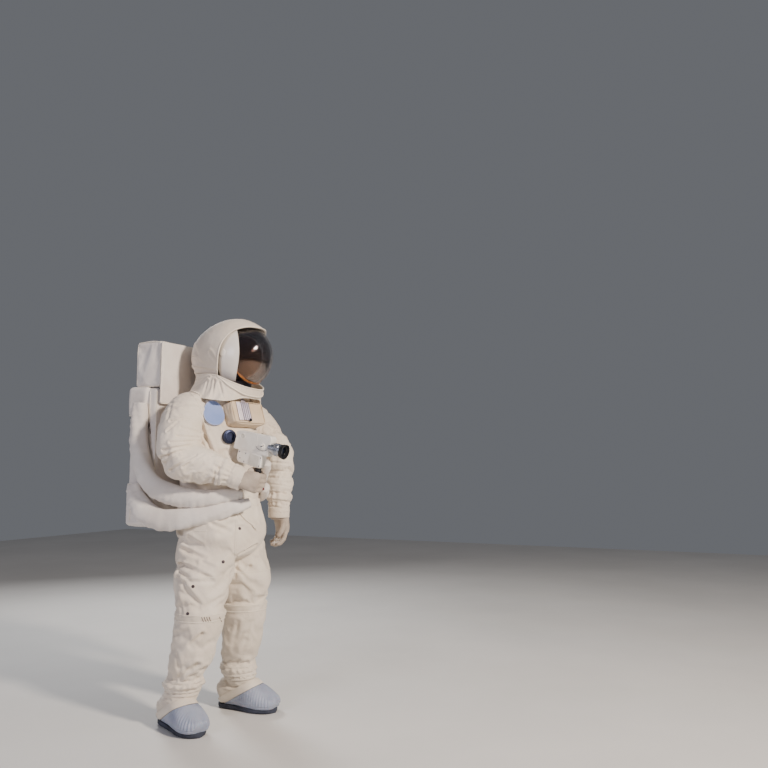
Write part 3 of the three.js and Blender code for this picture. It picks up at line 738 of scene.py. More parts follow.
# Egg about the pivot line, between two angles above straight ahead
def eggPoints(halfWidth, radius, low, high, rows, columns, stretch=1.0, edge=90.0):
    across = np.radians(np.linspace(-edge, edge, columns))[None, :]
    turn = np.radians(np.linspace(low, high, rows))[:, None]
    y = -radius * np.cos(across) * np.cos(turn)
    y = np.where(y > 0, y * stretch, y)
    z = radius * np.cos(across) * np.sin(turn)
    x = halfWidth * np.sin(across) * np.ones_like(turn)
    return np.stack([x, y, z], -1) + hub


# Hood form: an egg that is drawn in towards the brow, so it lies close over the visor
hoodHalfWidth, hoodRadius, hoodBack, browDrawIn = 175.0, 191.0, 1.42, 13.0


def hoodRadiusAt(turn):
    share = np.clip((105 - turn) / 40, 0, 1) * np.clip((turn + 60) / 60, 0, 1)
    return hoodRadius - browDrawIn * share * share * (3 - 2 * share)


# Edge of the opening on the right side, from the ear's foot up to the brow. Columns: y, z
hoodEdge = [
    (-54, 1628), (-66, 1657), (-75, 1688), (-82, 1718), (-88, 1749), (-95, 1776), (-104, 1798),
    (-117, 1820), (-129, 1836), (-146, 1852), (-162, 1862), (-175, 1868), (-187, 1871.5), (-197, 1873),
]
hoodFoot = 1612


def onHood(y, z):
    away = np.array([y - hub[1], z - hub[2]])
    radius = hoodRadiusAt(math.degrees(math.atan2(away[1], -away[0])))
    inside = max(1 - (away @ away) / radius**2, 0)
    return [-hoodHalfWidth * math.sqrt(inside), y, z]


sideRows = [onHood(y, z) for y, z in hoodEdge]
browRow = [0, -207.4, 1874.0]
rightHalf = np.array(sideRows + [browRow])
leftHalf = (rightHalf[:-1] * [-1, 1, 1])[::-1]
openingEdge = smoothPath(np.concatenate([rightHalf, leftHalf]), 400)
lengths = lengthsAlong(openingEdge)
edgeCount = 190
steady = np.linspace(0, lengths[-1], edgeCount)
openingEdge = np.stack([np.interp(steady, lengths, openingEdge[:, k]) for k in range(3)], -1)
rightEdge = openingEdge[: edgeCount // 2]

rows, columns = 190, 130
wholeTurn = (-178, 182)
turns = np.linspace(*wholeTurn, rows)
grid = eggPoints(hoodHalfWidth, hoodRadius, *wholeTurn, rows, columns, hoodBack)
scaleIn = (hoodRadiusAt(turns) / hoodRadius)[:, None, None]
grid = (hub + (grid - hub) * np.concatenate([np.ones_like(scaleIn), scaleIn, scaleIn], 2)).reshape(-1, 3)
faces = np.array(sheetFaces(rows, columns))
middle = grid[faces].mean(1)
edgeY = np.interp(middle[:, 2], rightEdge[:, 2], rightEdge[:, 1])
inOpening = (middle[:, 1] < edgeY) & (middle[:, 2] < rightEdge[:, 2].max())
keptFaces = faces[~inOpening & (middle[:, 2] > hoodFoot)]
used = np.unique(keptFaces)
sidesOf = [keptFaces[:, [a, b]] for a, b in ((0, 1), (1, 2), (2, 3), (3, 0))]
edges = np.sort(np.concatenate(sidesOf), axis=1)
pairs, counts = np.unique(edges, axis=0, return_counts=True)
border = np.unique(pairs[counts == 1])
atOpening = border[(grid[border, 1] < -50) & (grid[border, 2] > 1624)]
for n in atOpening:
    away = np.linalg.norm(openingEdge - grid[n], axis=1)
    if away.min() < 14:
        grid[n] = openingEdge[away.argmin()]
index = {n: k for k, n in enumerate(used)}
hood = newObject("hood_cover", grid[used], [[index[n] for n in face] for face in keptFaces], suitCloth)
points = formOf(hood)
low = np.clip((1700 - points[:, 2]) / 80, 0, 1) * np.clip((points[:, 1] + 80) / 60, 0, 1)
soft = wobble(points, [0.012, 0.012, 0.03], 1.0, 4) - points
points += soft * (0.8 + 5 * low)[:, None]
setForm(hood, points)
hoodFolds = [
    (194, 367.5, 216, 371.5, 10, 7), (193, 357, 204, 364, 5, 8), (194, 345, 199, 358, 4, 8),
    (189, 374, 206, 375, 8, 7), (210, 352, 216, 362, 4, 7),
]
pressFolds(hood, hoodFolds)
thicken(hood, 0.006)
finishPiece(hood, *sewnOn, "helmet_hood")
piping("hood_edge_piping", openingEdge + [0, -0.5, 0], 2.8, pipingCloth, 10)
seamTurn = np.radians(np.linspace(50, 196, 80))
seamRadius = hoodRadiusAt(np.degrees(seamTurn)) + 0.8
seam = np.stack([0 * seamTurn, -seamRadius * np.cos(seamTurn), seamRadius * np.sin(seamTurn)], -1)
seam[:, 1] = np.where(seam[:, 1] > 0, seam[:, 1] * hoodBack, seam[:, 1])
piping("hood_crown_seam", seam + hub, 1.6, pipingCloth, 6)

# Gold film on polycarbonate: dark bronze mirror, warmer towards the chin. The tint ramp by height is a
# painted reflection: warm gold-brown low and dark purple high stand in for what the visor mirrors
goldFilm, tree, shader, place = newMaterial(
    "goldFilmWithPaintedReflection", "#5a4032", Metallic=0.92, Roughness=0.07
)
# Painted reflection: base tint ramped by height, from warm gold-brown at the chin to dark purple at the top
axes = addNode(tree, "SeparateXYZ", links={"Vector": place})
reflectionTintByHeight = addNode(tree, "MapRange", {1: 1.6, 2: 1.82}, {0: axes.outputs["Z"]})
ramp = addNode(tree, "ValToRGB", links={"Fac": reflectionTintByHeight.outputs[0]})
ramp.color_ramp.elements[0].color = linear("#74502c")
ramp.color_ramp.elements[1].color = linear("#40323c")
tree.links.new(ramp.outputs["Color"], shader.inputs["Base Color"])
ripple = grainNode(tree, place, 9.0, 1.0)
bump(tree, shader, [(ripple.outputs["Fac"], 0.003, 0.25)])

# Clear polycarbonate, polished on both faces, with faint wiping haze
clearShell, tree, shader, place = newMaterial(
    "polishedClearPolycarbonate", "#f4f1ee", Roughness=0.03, IOR=1.58, Transmission_Weight=1.0, Alpha=0.55
)
wornPolish(tree, shader, place, 14.0, 3.0, 0.8, 0.02, 0.07)

# Smoked polycarbonate behind the visor: near black and glossy
smoked = mottledMaterial(
    "smokedPolycarbonate", "#17141a", "#1c181f", "#110f14", 6.0, Roughness=0.12, IOR=1.58
)

# White moulded shell: satin paint with slight orange peel
satinShell = mottledMaterial(
    "satinPaintedShell", "#efe9e2", "#f1ece6", "#e6dfd6", 9.0, [(300.0, 1.0, 0.0004, 0.25)],
    Roughness=0.32, Coat_Weight=0.25, Coat_Roughness=0.2,
)

visorBody = ("visor", "gold_film")
visorRows, visorColumns = 54, 70
goldPoints = eggPoints(131.5, 153.5, -61, 75, visorRows, visorColumns, edge=88)
goldVisor = newObject("visor_gold_layer", goldPoints, sheetFaces(visorRows, visorColumns), goldFilm)
thicken(goldVisor, 0.0015)
finishPiece(goldVisor, *visorBody)
clearPoints = eggPoints(143, 166, -62, 75, visorRows, visorColumns, edge=87.5)
clearVisor = newObject("visor_clear_shell", clearPoints, sheetFaces(visorRows, visorColumns), clearShell)
thicken(clearVisor, 0.002)
finishPiece(clearVisor, *visorBody, "gold_visor")


# Disc with a rounded rim on the pivot line
def pivotDisc(name, side, inner, outer, radius, material):
    profile = [(0, outer), (radius - 5, outer), (radius - 1.5, outer - 0.8)]
    profile += [(radius, outer - 2.5), (radius, inner), (0, inner)]
    turn = roundTurns(40)
    points = []
    for r, out in profile:
        points += [[side * out, hub[1] + r * np.cos(a), hub[2] + r * np.sin(a)] for a in turn]
    return newObject(name, points, gridFaces(len(profile), 40), material)


# Amber sealing strip along the visor's lower edge, and a white rim along its upper one
amberSeal = mottledMaterial(
    "amberSiliconeSeal", "#a8662a", "#b8742e", "#86501f", 30.0, Roughness=0.35, Subsurface_Weight=0.1
)
visorEdges = [("visor_lower_seal", -59.5, 5.2, amberSeal), ("visor_upper_edge", 74.5, 2.0, satinShell)]
for name, angle, radius, material in visorEdges:
    strip = eggPoints(139, 161, angle, angle + 1, 2, 90, edge=86)[0]
    piping(name, strip, radius, material, belongs=visorBody)
visorHubs = joinObjects([pivotDisc("visor_hubs", side, 128.5, 145.3, 24, satinShell) for side in (-1, 1)])
finishPiece(visorHubs, *visorBody)

# Dark bubble: a whole egg, cut flat at its foot
bubble = newObject("inner_bubble", eggPoints(128, 150, *wholeTurn, 72, 48), sheetFaces(72, 48), smoked)
bubbleFoot = (0, 0, 1.6125)
work = bmesh.new()
work.from_mesh(bubble.data)
bmesh.ops.remove_doubles(work, verts=work.verts, dist=0.0001)
everything = work.verts[:] + work.edges[:] + work.faces[:]
bmesh.ops.bisect_plane(work, geom=everything, plane_co=bubbleFoot, plane_no=(0, 0, -1), clear_outer=True)
bmesh.ops.holes_fill(work, edges=work.edges[:], sides=0)
work.to_mesh(bubble.data)
work.free()
finishPiece(bubble, "suit", "smoked_plastic", "helmet_bubble")

# Side shades: thin white shells from brow to cheek, their front edge rounded
for side, name in [(-1, "right"), (1, "left")]:
    rows, columns = 26, 90
    points = []
    for share in np.linspace(0, 1, rows):
        for height in np.linspace(-134, 121, columns):
            front = -83 + 38 * (height / 120) ** 2
            depth = front + (34 - front) * share
            out = 152.5 * math.sqrt(1 - (depth**2 + height**2) / 175**2)
            points.append([side * out, hub[1] + depth, hub[2] + height])
    shadeName = "eyeshade_" + name
    shade = newObject(shadeName, points, sheetFaces(rows, columns), satinShell)
    addModifier(shade, "SOLIDIFY", thickness=0.0034, offset=-1)
    addModifier(shade, "BEVEL", width=0.001, segments=2, limit_method="ANGLE")
    applyAll(shade)
    finishPiece(shade, shadeName, "white_shell", name + "_eyeshade")
    rim = np.array(points[:columns]) - [side * 1.5, 0, 0]
    piping(shadeName + "_edge", rim, 2.3, satinShell, belongs=(shadeName, "white_shell"))
    finishPiece(pivotDisc(shadeName + "_hub", side, 146, 154, 20, satinShell), shadeName, "white_shell")
print("helmet ready")

# Collar: a skirt of cloth from the hood's foot, draped on the shoulders, pleated and piped
garment = surfaceOfAll([torso, sleeves["right"], sleeves["left"]])


# Height of the garment under a place, in millimetres
def restHeight(x, y):
    start = Vector(((x + shift[0]) / 1000, (y + shift[1]) / 1000, 1.72))
    hit = garment.ray_cast(start, Vector((0, 0, -1)))[0]
    return hit.z * 1000 if hit else 0.0


# Collar form by height: z, centre y, half width, half depth
collarRows = [[1508, 20, 214, 186], [1540, 2, 194, 178], [1562, -12, 182, 172], [1600, -28, 168, 170]]
collarForm = np.array(collarRows + [[1652, -34, 158, 176]], float)

# Heights round the collar by degrees from the front: its head edge, the band's piping and the hem
headHeights = [
    (0, 1570), (16, 1572), (34, 1582), (50, 1596), (63, 1610), (76, 1629), (90, 1636), (120, 1642),
    (180, 1648),
]
bandHeights = [(0, 1536), (10, 1536), (21, 1540), (40, 1562), (60, 1592), (76, 1627)]
hemHeights = [
    (0, 1527), (14, 1529), (20, 1532), (28, 1521), (34, 1511), (45, 1507), (65, 1514), (85, 1522),
    (105, 1540), (180, 1550),
]


def heightAt(table, turn):
    fromFront = abs(math.degrees((turn - 1.5 * math.pi + math.pi) % (2 * math.pi) - math.pi))
    table = np.array(table, float)
    spread = np.linspace(-9, 9, 7)
    return float(np.interp(np.abs(fromFront + spread), table[:, 0], table[:, 1]).mean())


def collarPoint(turn, z, out):
    centre, wide, deep = (np.interp(z, collarForm[:, 0], collarForm[:, k]) for k in (1, 2, 3))
    return np.array([(wide + out) * math.cos(turn), centre + (deep + out) * math.sin(turn), z])


columns, rows = 240, 26
collarPoints = np.zeros((rows, columns, 3))
for j in range(columns):
    turn = 2 * np.pi * j / columns
    head, band, foot = (heightAt(table, turn) for table in (headHeights, bandHeights, hemHeights))
    front = max(0.0, -math.sin(turn))
    pleat = math.cos(15 * turn + 1.7 * math.sin(3 * turn + 1))
    for i in range(rows):
        t = i / (rows - 1)
        z = head + (foot - head) * t
        underBand = min(max((band - z) / 30, 0), 1)
        wave = 5.5 * t * pleat + 2.5 * math.sin(math.pi * t) * math.cos(7 * turn + 2)
        ripple = underBand * wave * (1 - 0.6 * front**4)
        ripple -= 5 * min(max((band - z) / 6, 0), 1) * front**2
        point = collarPoint(turn, z, ripple)
        point[2] = max(z, restHeight(point[0], point[1]) + 5)
        collarPoints[i, j] = point
collar = newObject("collar_skirt", collarPoints, gridFaces(rows, columns, False), suitCloth)
collarFolds = [
    (215, 380, 211.5, 397, 8, 5), (219.5, 382, 223.2, 398, 6, 5), (208, 380, 204, 393, 5, 5),
    (207, 380, 194, 389, 6, 5), (209, 377, 190, 384, 5, 5),
]
pressFolds(collar, collarFolds)
thicken(collar, 0.004)
finishPiece(collar, *sewnOn, "collar")
piping("collar_head_piping", collarPoints[0] + [0, 0, 0.5], 3.2, pipingCloth, closed=True)
piping("collar_foot_piping", collarPoints[-1], 2.6, pipingCloth, closed=True)


# Path round the collar's front, so many degrees either way, beside one of its height tables
def roundFront(reach, count, heights, drop, out):
    turns = [math.radians(270 + fromFront) for fromFront in np.linspace(-reach, reach, count)]
    return [collarPoint(turn, heightAt(heights, turn) - drop, out) for turn in turns]


# Bright piping of the front band, sewn from the hood's foot at one ear round under the visor to the other
piping("collar_band_piping", roundFront(76, 130, bandHeights, 0, 2.0), 3.4, pipingCloth, 10)
for side, name in [(-1, "right"), (1, "left")]:
    turn = math.radians(270 + side * 21)
    heights = np.linspace(heightAt(headHeights, turn), heightAt(bandHeights, turn), 12)
    step = [collarPoint(turn, z, 1.0) for z in heights]
    piping("collar_band_seam_" + name, step, 1.2, pipingCloth, 6)

# Lower rim under the visor: a white moulded gutter just inside the collar's head edge
gutter = roundFront(42, 80, headHeights, 11, -13)
piping("visor_lower_rim", gutter, 7.0, satinShell, 16, belongs=("suit", "white_shell", "visor_rim"))
print("collar ready", round(time.time() - started, 1))


# Overshoes. Tables are in the foot's own frame, heel at +Y: x, y, z, half width, half height
footTable = [
    [0, 155, 62, 30, 34], [0, 134, 72, 53, 60], [0, 80, 86, 58, 80], [0, 20, 84, 60, 80],
    [0, -40, 66, 68, 66], [0, -100, 48, 70, 50], [0, -146, 38, 54, 34], [0, -161, 34, 30, 22],
]
feet = {"right": (-194, 60, -21), "left": (191, -36, 2)}
ankleTables = {
    "right": [
        [-158, 74, 224, 78, 84], [-158, 76, 214, 86, 92], [-157, 80, 196, 92, 98],
        [-158, 83, 172, 80, 88], [-161, 84, 148, 72, 80], [-164, 84, 110, 54, 66],
    ],
    "left": [
        [184, 20, 224, 78, 84], [184, 20, 214, 85, 91], [186, 18, 192, 88, 94], [188, 13, 168, 80, 86],
        [190, 7, 142, 68, 78], [191, 2, 108, 52, 66],
    ],
}
# Side of the sole from below. Columns: height, inset
soleSection = [(4, 3.5), (9, 0.8), (13, 0), (16, 1.2), (20, 0), (23, 0.6), (24, 4)]
cleatSpacing = 17
strapPlace = {"y": 30, "z": 90, "tilt": math.radians(60.7), "halfWidth": 18}
toeCapEdge = -20
soleThickness = 24
ribSpacing = 13.5

# Silicone rubber of the toe cap: pale blue grey, satin, faintly see-through at its edges
capRubber = mottledMaterial(
    "mouldedSiliconeRubber", "#9ca4b8", "#a7aec0", "#8d95ab", 12.0, [(240.0, 2.0, 0.0005, 0.3)],
    Roughness=0.48, Subsurface_Weight=0.08, Subsurface_Scale=0.01,
)

# Moulded sole, matt with scuffed dust; its near-black tone is painted shade, standing in for the shadow under
# the foot
shadeDarkSoleRubber = mottledMaterial(
    "mouldedSoleRubberDarkAsShade", "#2b3040", "#3d4252", "#232734", 20.0, [(160.0, 4.0, 0.0008, 0.5)], Roughness=0.78
)

# Flat woven strap: tighter than the suit's cloth, with fainter crumples and creases
webbing = clothMaterial("wovenStrapWebbing", "#eee5d8", "#ddd0c0", 0.08, 0.08)


def quadratic(a, b, c, count):
    t = np.linspace(0, 1, count, endpoint=False)[:, None]
    return (1 - t) ** 2 * np.array(a) + 2 * t * (1 - t) * np.array(b) + t**2 * np.array(c)


soleOutline = np.concatenate(
    [
        quadratic((-52, 96), (-52, 157), (0, 157), 24),
        quadratic((0, 157), (52, 157), (52, 96), 24),
        quadratic((52, 96), (52, 20), (67, -52), 24),
        quadratic((67, -52), (70, -160), (0, -163), 30),
        quadratic((0, -163), (-70, -160), (-67, -52), 30),
        quadratic((-67, -52), (-52, 20), (-52, 96), 24),
    ]
)


# Foot frame to figure frame
def footToFigure(points, foot):
    x, y, turn = feet[foot]
    c, s = math.cos(math.radians(turn)), math.sin(math.radians(turn))
    across, along, up = np.asarray(points, float).reshape(-1, 3).T
    return np.stack([x + c * across - s * along, y + s * across + c * along, up], -1)


# Foot form above the sole, standing square on it
def footForm(grow, rings, sides):
    points = tubePoints(footTable, rings, sides, square=2.4)
    centre = points.mean(1, keepdims=True)
    away = points - centre
    points = centre + away * (1 + grow / np.linalg.norm(away, axis=2, keepdims=True))
    points[:, :, 1] += grow * np.linspace(1, -1, rings)[:, None]
    points[:, :, 2] = np.maximum(points[:, :, 2], soleThickness - 1)
    return points.reshape(-1, 3)


# Cuts a piece by a plane in millimetres in its own frame, and drops the side the normal points to
def cutAway(points, faces, planes):
    work = bmesh.new()
    verts = [work.verts.new(p) for p in points]
    for face in faces:
        work.faces.new([verts[n] for n in face])
    for spot, normal in planes:
        everything = work.verts[:] + work.edges[:] + work.faces[:]
        bmesh.ops.bisect_plane(work, geom=everything, plane_co=spot, plane_no=normal, clear_outer=True)
    work.verts.index_update()
    left = [list(v.co) for v in work.verts]
    kept = [[v.index for v in f.verts] for f in work.faces]
    work.free()
    return np.array(left), kept


strapWay = np.array([0, math.cos(strapPlace["tilt"]), math.sin(strapPlace["tilt"])])
strapMiddle = np.array([0, strapPlace["y"], strapPlace["z"]])


def slantPlane(offset, facing):
    return (strapMiddle + strapWay * offset).tolist(), (strapWay * facing).tolist()


for foot in ("right", "left"):
    # Sole: cross sections along the foot, with cleats cut into its underside
    heel, toe = np.linspace(158.5, 150, 6)[:-1], np.linspace(-150, -164.5, 8)[1:]
    stations = np.concatenate([heel, np.linspace(150, -150, 240), toe])
    left = soleOutline[soleOutline[:, 0] >= 0]
    left = left[np.argsort(left[:, 1])]
    halfWidths = np.maximum(np.interp(np.clip(stations, -163, 157), left[:, 1], left[:, 0]), 1.0) + 1.5
    halfWidths[[0, -1]] *= 0.5
    rings = []
    for y, width in zip(stations, halfWidths):
        groove = 1 / (1 + math.exp(-9 * math.cos(2 * math.pi * y / cleatSpacing)))
        under = 4.5 * groove * (abs(y) < 150)
        ring = []
        for sign in (-1, 1):
            rows = soleSection if sign < 0 else soleSection[::-1]
            for z, inset in rows:
                ring.append([sign * max(width - inset, 0.5), y, max(z, under + 0.5 if z <= 4 else z)])
        for share in (0.75, 0.25, -0.25, -0.75):
            ring.append([share * max(width - 6, 0.4), y, under])
        rings.append(ring)
    rings = np.array(rings)
    soleFaces = gridFaces(len(stations), rings.shape[1])
    sole = newObject("sole_" + foot, footToFigure(rings, foot), soleFaces, shadeDarkSoleRubber)
    splitEdges(sole, 50)
    finishPiece(sole, "suit", "sole_rubber", foot + "_sole")

    # Toe cap: rubber shell in front of the slanted edge, ribbed above a smooth rand
    rings, sides = 96, 240
    points, faces = cutAway(footForm(2.5, rings, sides), gridFaces(rings, sides), [slantPlane(toeCapEdge, 1)])
    points, faces = cutAway(points, faces, [([0, 0, soleThickness - 0.5], [0, 0, -1])])
    cap = newObject("toe_cap_" + foot, points, faces, capRubber)
    normals = normalsOf(cap)
    lengths = lengthsAlong(soleOutline)
    dense = np.linspace(0, lengths[-1], 1400)
    denseOutline = np.stack([np.interp(dense, lengths, soleOutline[:, k]) for k in range(2)], -1)
    nearest = []
    for chunk in np.array_split(points, 60):
        nearest.append(np.linalg.norm(chunk[:, None, :2] - denseOutline[None], axis=2).argmin(1))
    around = dense[np.concatenate(nearest)]
    rib = (0.5 + 0.5 * np.cos(2 * np.pi * around / ribSpacing)) ** 0.8
    toEdge = (points - strapMiddle) @ strapWay - toeCapEdge
    onSide = np.clip((0.93 - np.abs(normals[:, 2])) / 0.2, 0, 1)
    aboveRand = np.clip((points[:, 2] - 36) / 4, 0, 1)
    inside = np.clip((-toEdge - 7) / 5, 0, 1)
    rand = 1.2 * hump(points[:, 2], 31, 4)
    lip = 1.4 * hump(toEdge, -3, 3)
    tip = points[points[:, 1].argmin()]
    offTip = np.clip((np.linalg.norm(points - tip, axis=1) - 5) / 14, 0, 1)
    raised = (4.2 * rib * onSide * aboveRand * inside + rand + lip) * offTip
    points = points + normals * raised[:, None]
    setForm(cap, footToFigure(points, foot))
    thicken(cap, 0.003)
    finishPiece(cap, "suit", "overshoe_rubber", foot + "_toe_cap")

    # Fabric upper and ankle gaiter as one sewn bag
    upperPoints = footToFigure(footForm(0, 90, 70), foot)
    upper = newObject("boot_upper_" + foot, upperPoints, gridFaces(90, 70), suitCloth)
    gaiter = tubeObject("gaiter" + foot, ankleTables[foot], 30, 48, level=True)
    joinObjects([upper, gaiter])
    remesh(upper, 7.5, 2)
    points = formOf(upper)
    height = points[:, 2]
    cut = points.copy()
    cut[:, 2] = 60 + (height - 60) * (1 + 0.16 * np.clip((height - 90) / 80, 0, 1))
    hold = np.maximum(0.05, tacks(points, 30, 16, 0.5, 31 + len(foot)))
    hold = np.maximum(hold, below(height, 96, 8))
    for level in (150, 178, 222):
        hold = np.maximum(hold, 0.8 * hump(height, level, 6))
    settle(upper, wobble(cut, [0.009, 0.009, 0.024], 2.5, 41), hold, limit=13, bending=1.2)
    subdivide(upper)
    points = formOf(upper)
    axis = np.array(ankleTables[foot], float)
    middle = np.stack([np.interp(-points[:, 2], -axis[:, 2], axis[:, k]) for k in (0, 1)], -1)
    flat = points[:, :2] - middle
    turn = np.arctan2(flat[:, 1], flat[:, 0])
    pinch = sum(hump(points[:, 2], level, 7) for level in (150, 178))
    frill = hump(points[:, 2], 164, 8) + hump(points[:, 2], 194, 9)
    wave = np.cos(15 * turn + 2 * np.sin(3 * turn + 1))
    change = (-4.5 * pinch + frill * (2.5 + 3 * wave)) * np.clip((points[:, 2] - 120) / 15, 0, 1)
    points[:, :2] += flat / np.maximum(np.linalg.norm(flat, axis=1), 1)[:, None] * change[:, None]
    points[:, 2] = np.maximum(points[:, 2], soleThickness - 1)
    setForm(upper, points)
    finishPiece(upper, *sewnOn, foot + "_boot_upper", foot + "_boot_cuff")

    # Wraps tied round the ankle, each a flat woven band laid on the gaiter
    surface = surfaceOf(upper)
    for number, (level, tilt) in enumerate([(150, -6), (178, 4)]):
        centre = np.array([np.interp(-level, -axis[:, 2], axis[:, k]) for k in (0, 1)])
        sides = 120
        ring = []
        for n in range(sides):
            turn = 2 * math.pi * n / sides
            way = Vector((math.cos(turn), math.sin(turn), 0))
            z = level + tilt * math.sin(turn + 0.6)
            start = Vector((np.array([*centre, z]) + shift) / 1000) + way * 0.2
            hit = surface.ray_cast(start, -way)[0]
            out = (start - hit).length * 1000 if hit else 120
            ring.append([200 - out, z])
        ring = np.array(ring)
        wrapped = np.concatenate([ring[-9:, 0], ring[:, 0], ring[:9, 0]])
        ring[:, 0] = np.convolve(wrapped, np.ones(19) / 19, "valid")
        turns = 2 * np.pi * np.arange(sides) / sides
        profile = [(0, -8), (2.2, -7.5), (3.2, -4), (3.4, 0), (3.2, 4), (2.2, 7.5), (0, 8), (-1.5, 0)]
        rows = []
        for out, up in profile + profile[:1]:
            across, along = (ring[:, 0] + out) * np.cos(turns), (ring[:, 0] + out) * np.sin(turns)
            rows.append(np.stack([centre[0] + across, centre[1] + along, ring[:, 1] + up], -1))
        wrapName = "ankle_wrap_" + foot + "_" + str(number + 1)
        finishPiece(newObject(wrapName, rows, gridFaces(len(rows), sides, False), webbing), *sewnOn)

    # Wide strap from the instep down to the heel, stitched along both edges
    half = strapPlace["halfWidth"]
    planes = [slantPlane(half, 1), slantPlane(-half, -1), ([0, 0, soleThickness + 8], [0, 0, -1])]
    points, faces = cutAway(footForm(5.5, 150, 160), gridFaces(150, 160, False), planes)
    strap = newObject("boot_strap_" + foot, points, faces, webbing)
    normals = normalsOf(strap)
    across = (points - strapMiddle) @ strapWay
    crown = 1.6 * (1 - (across / half) ** 4) - 1.1 * np.exp(-(((np.abs(across) - half + 4) / 1.2) ** 2))
    setForm(strap, footToFigure(points + normals * crown[:, None], foot))
    thicken(strap, 0.0035)
    finishPiece(strap, *sewnOn, foot + "_boot_strap")
print("overshoes ready", round(time.time() - started, 1))


# Life-support backpack: fabric-covered boxes, with welted edges. Low and high corners
packBoxes = {
    "pack_body": ([-240, 220, 922], [240, 385, 1575], "backpack"),
    "pack_low_cover": ([-247, 258, 914], [247, 392, 1116], "backpack_low_cover"),
    "pack_top_cover": ([-249, 272, 1440], [249, 394, 1583], "backpack_top_cover"),
    "oxygen_unit": ([-232, 211, 1583.3], [232, 363, 1806], "oxygen_pack"),
}


# Rounded box as a grid of quads on its six sides, each side crowned outwards in its middle
def roundedBox(low, high, radius, step, crown):
    low, high = np.array(low, float), np.array(high, float)
    ends = np.array([0, 0.12, 0.3, 0.55, 0.8, 1.0]) * radius * 1.5
    lines = []
    for k in range(3):
        span = high[k] - low[k]
        count = max(2, int((span - 3 * radius) / step))
        inner = np.linspace(1.5 * radius, span - 1.5 * radius, count + 1)[1:-1]
        lines.append(low[k] + np.concatenate([ends, inner, (span - ends)[::-1]]))
    keys, points, faces = {}, [], []

    def corner(i, j, k):
        if (i, j, k) not in keys:
            keys[(i, j, k)] = len(points)
            points.append([lines[0][i], lines[1][j], lines[2][k]])
        return keys[(i, j, k)]

    sizes = [len(line) for line in lines]
    for axis in range(3):
        u, v = [k for k in range(3) if k != axis]
        for end in (0, sizes[axis] - 1):
            for a in range(sizes[u] - 1):
                for b in range(sizes[v] - 1):
                    quad = []
                    for da, db in ((0, 0), (1, 0), (1, 1), (0, 1)):
                        index = [0, 0, 0]
                        index[axis], index[u], index[v] = end, a + da, b + db
                        quad.append(corner(*index))
                    faces.append(quad)
    points = np.array(points)
    inner = np.clip(points, low + radius, high - radius)
    out = points - inner
    reach = np.maximum(np.abs(out).max(1), 1e-9)
    length = np.maximum(np.linalg.norm(out, axis=1), 1e-9)
    points = inner + out / length[:, None] * np.minimum(reach, radius)[:, None]
    middle, half = (low + high) / 2, (high - low) / 2
    share = np.clip((points - middle) / half, -1, 1)
    fall = 1 - share**4
    for k in range(3):
        u, v = [n for n in range(3) if n != k]
        points[:, k] += np.sign(share[:, k]) * (np.abs(share[:, k]) > 0.9) * crown * fall[:, u] * fall[:, v]
    return points, faces


packSewn = ("suit", "pack_fabric")


# Fabric cover of a box: sewn a little too large, then settled so it puckers along its edges
def fabricBox(name, low, high, node, radius, step, crown, seed):
    points, faces = roundedBox(low, high, radius, step, crown)
    obj = newObject(name, points, faces, packCloth)
    middle = (np.array(low) + np.array(high)) / 2
    cut = middle + (points - middle) * 1.012
    half = (np.array(high) - np.array(low)) / 2
    edge = np.sort(np.abs(points - middle) / half, axis=1)[:, 1]
    hold = np.clip((edge - 0.86) / 0.1, 0.04, 0.85)
    hold = np.maximum(hold, tacks(points, 14, 40, 0.4, seed))
    settle(obj, wobble(cut, 0.008, 3, seed), hold, limit=7, bending=3)
    setForm(obj, wobble(formOf(obj), 0.016, 1.2, seed + 3))
    finishPiece(obj, *packSewn, node)
    return obj


# Welt: a cord sewn along an edge, a little uneven
def welt(name, path, radius, seed):
    path = wobble(smoothPath(path, 90), 0.02, 1.4, seed)
    return piping(name, path, radius, pipingCloth, belongs=packSewn)


covers = {}
for number, (name, (low, high, node)) in enumerate(packBoxes.items()):
    edges = (13, 8.5, 3.5) if name == "oxygen_unit" else (18, 10, 5)
    covers[name] = fabricBox(name, low, high, node, *edges, 60 + number)
low, high = packBoxes["oxygen_unit"][:2]
for side, x in (("right", low[0] + 3), ("left", high[0] - 3)):
    sign = -1 if side == "right" else 1
    for mark, y in (("front", low[1] + 4), ("back", high[1] - 5)):
        column = [[x, y, low[2] + 8], [x + sign, y, 1690], [x, y, high[2] - 10]]
        welt("oxygen_unit_welt_" + side + "_" + mark, column, 3.2, 70)
    top = [[x, low[1] + 8, high[2] - 4], [x, 280, high[2] + 0.5], [x, high[1] - 9, high[2] - 4]]
    welt("oxygen_unit_top_welt_" + side, top, 2.8, 71)
    inX = x - sign
    foot = [[inX, low[1] + 8, low[2] + 4], [inX, 280, low[2] + 3], [inX, high[1] - 9, low[2] + 4]]
    welt("oxygen_unit_foot_welt_" + side, foot, 2.6, 72)
for mark, y in (("front", low[1] + 4), ("back", high[1] - 5)):
    row = [[low[0] + 12, y, high[2] - 4], [0, y, high[2] - 1], [high[0] - 12, y, high[2] - 4]]
    welt("oxygen_unit_top_welt_" + mark, row, 2.8, 73)

# Apron: the oxygen unit's front cloth, which hangs down between the pack and the shoulders
apronPoints, apronFaces = roundedBox([-236, 197, 1500], [236, 210.7, 1800], 5, 7, 1)
apron = newObject("oxygen_unit_apron", apronPoints, apronFaces, packCloth)
points = wobble(apronPoints, 0.012, 3.0, 81)
points[:, 1] = np.minimum(points[:, 1], 211.5)
setForm(apron, points)
finishPiece(apron, *packSewn, "oxygen_pack_apron")
for side, x in (("right", -236.5), ("left", 236.5)):
    welt("apron_edge_" + side, [[x, 203, 1506], [x, 202, 1650], [x, 202, 1794]], 3.0, 82)
welt("apron_hem", [[-232, 202, 1500], [0, 201, 1499], [232, 202, 1500]], 2.8, 83)

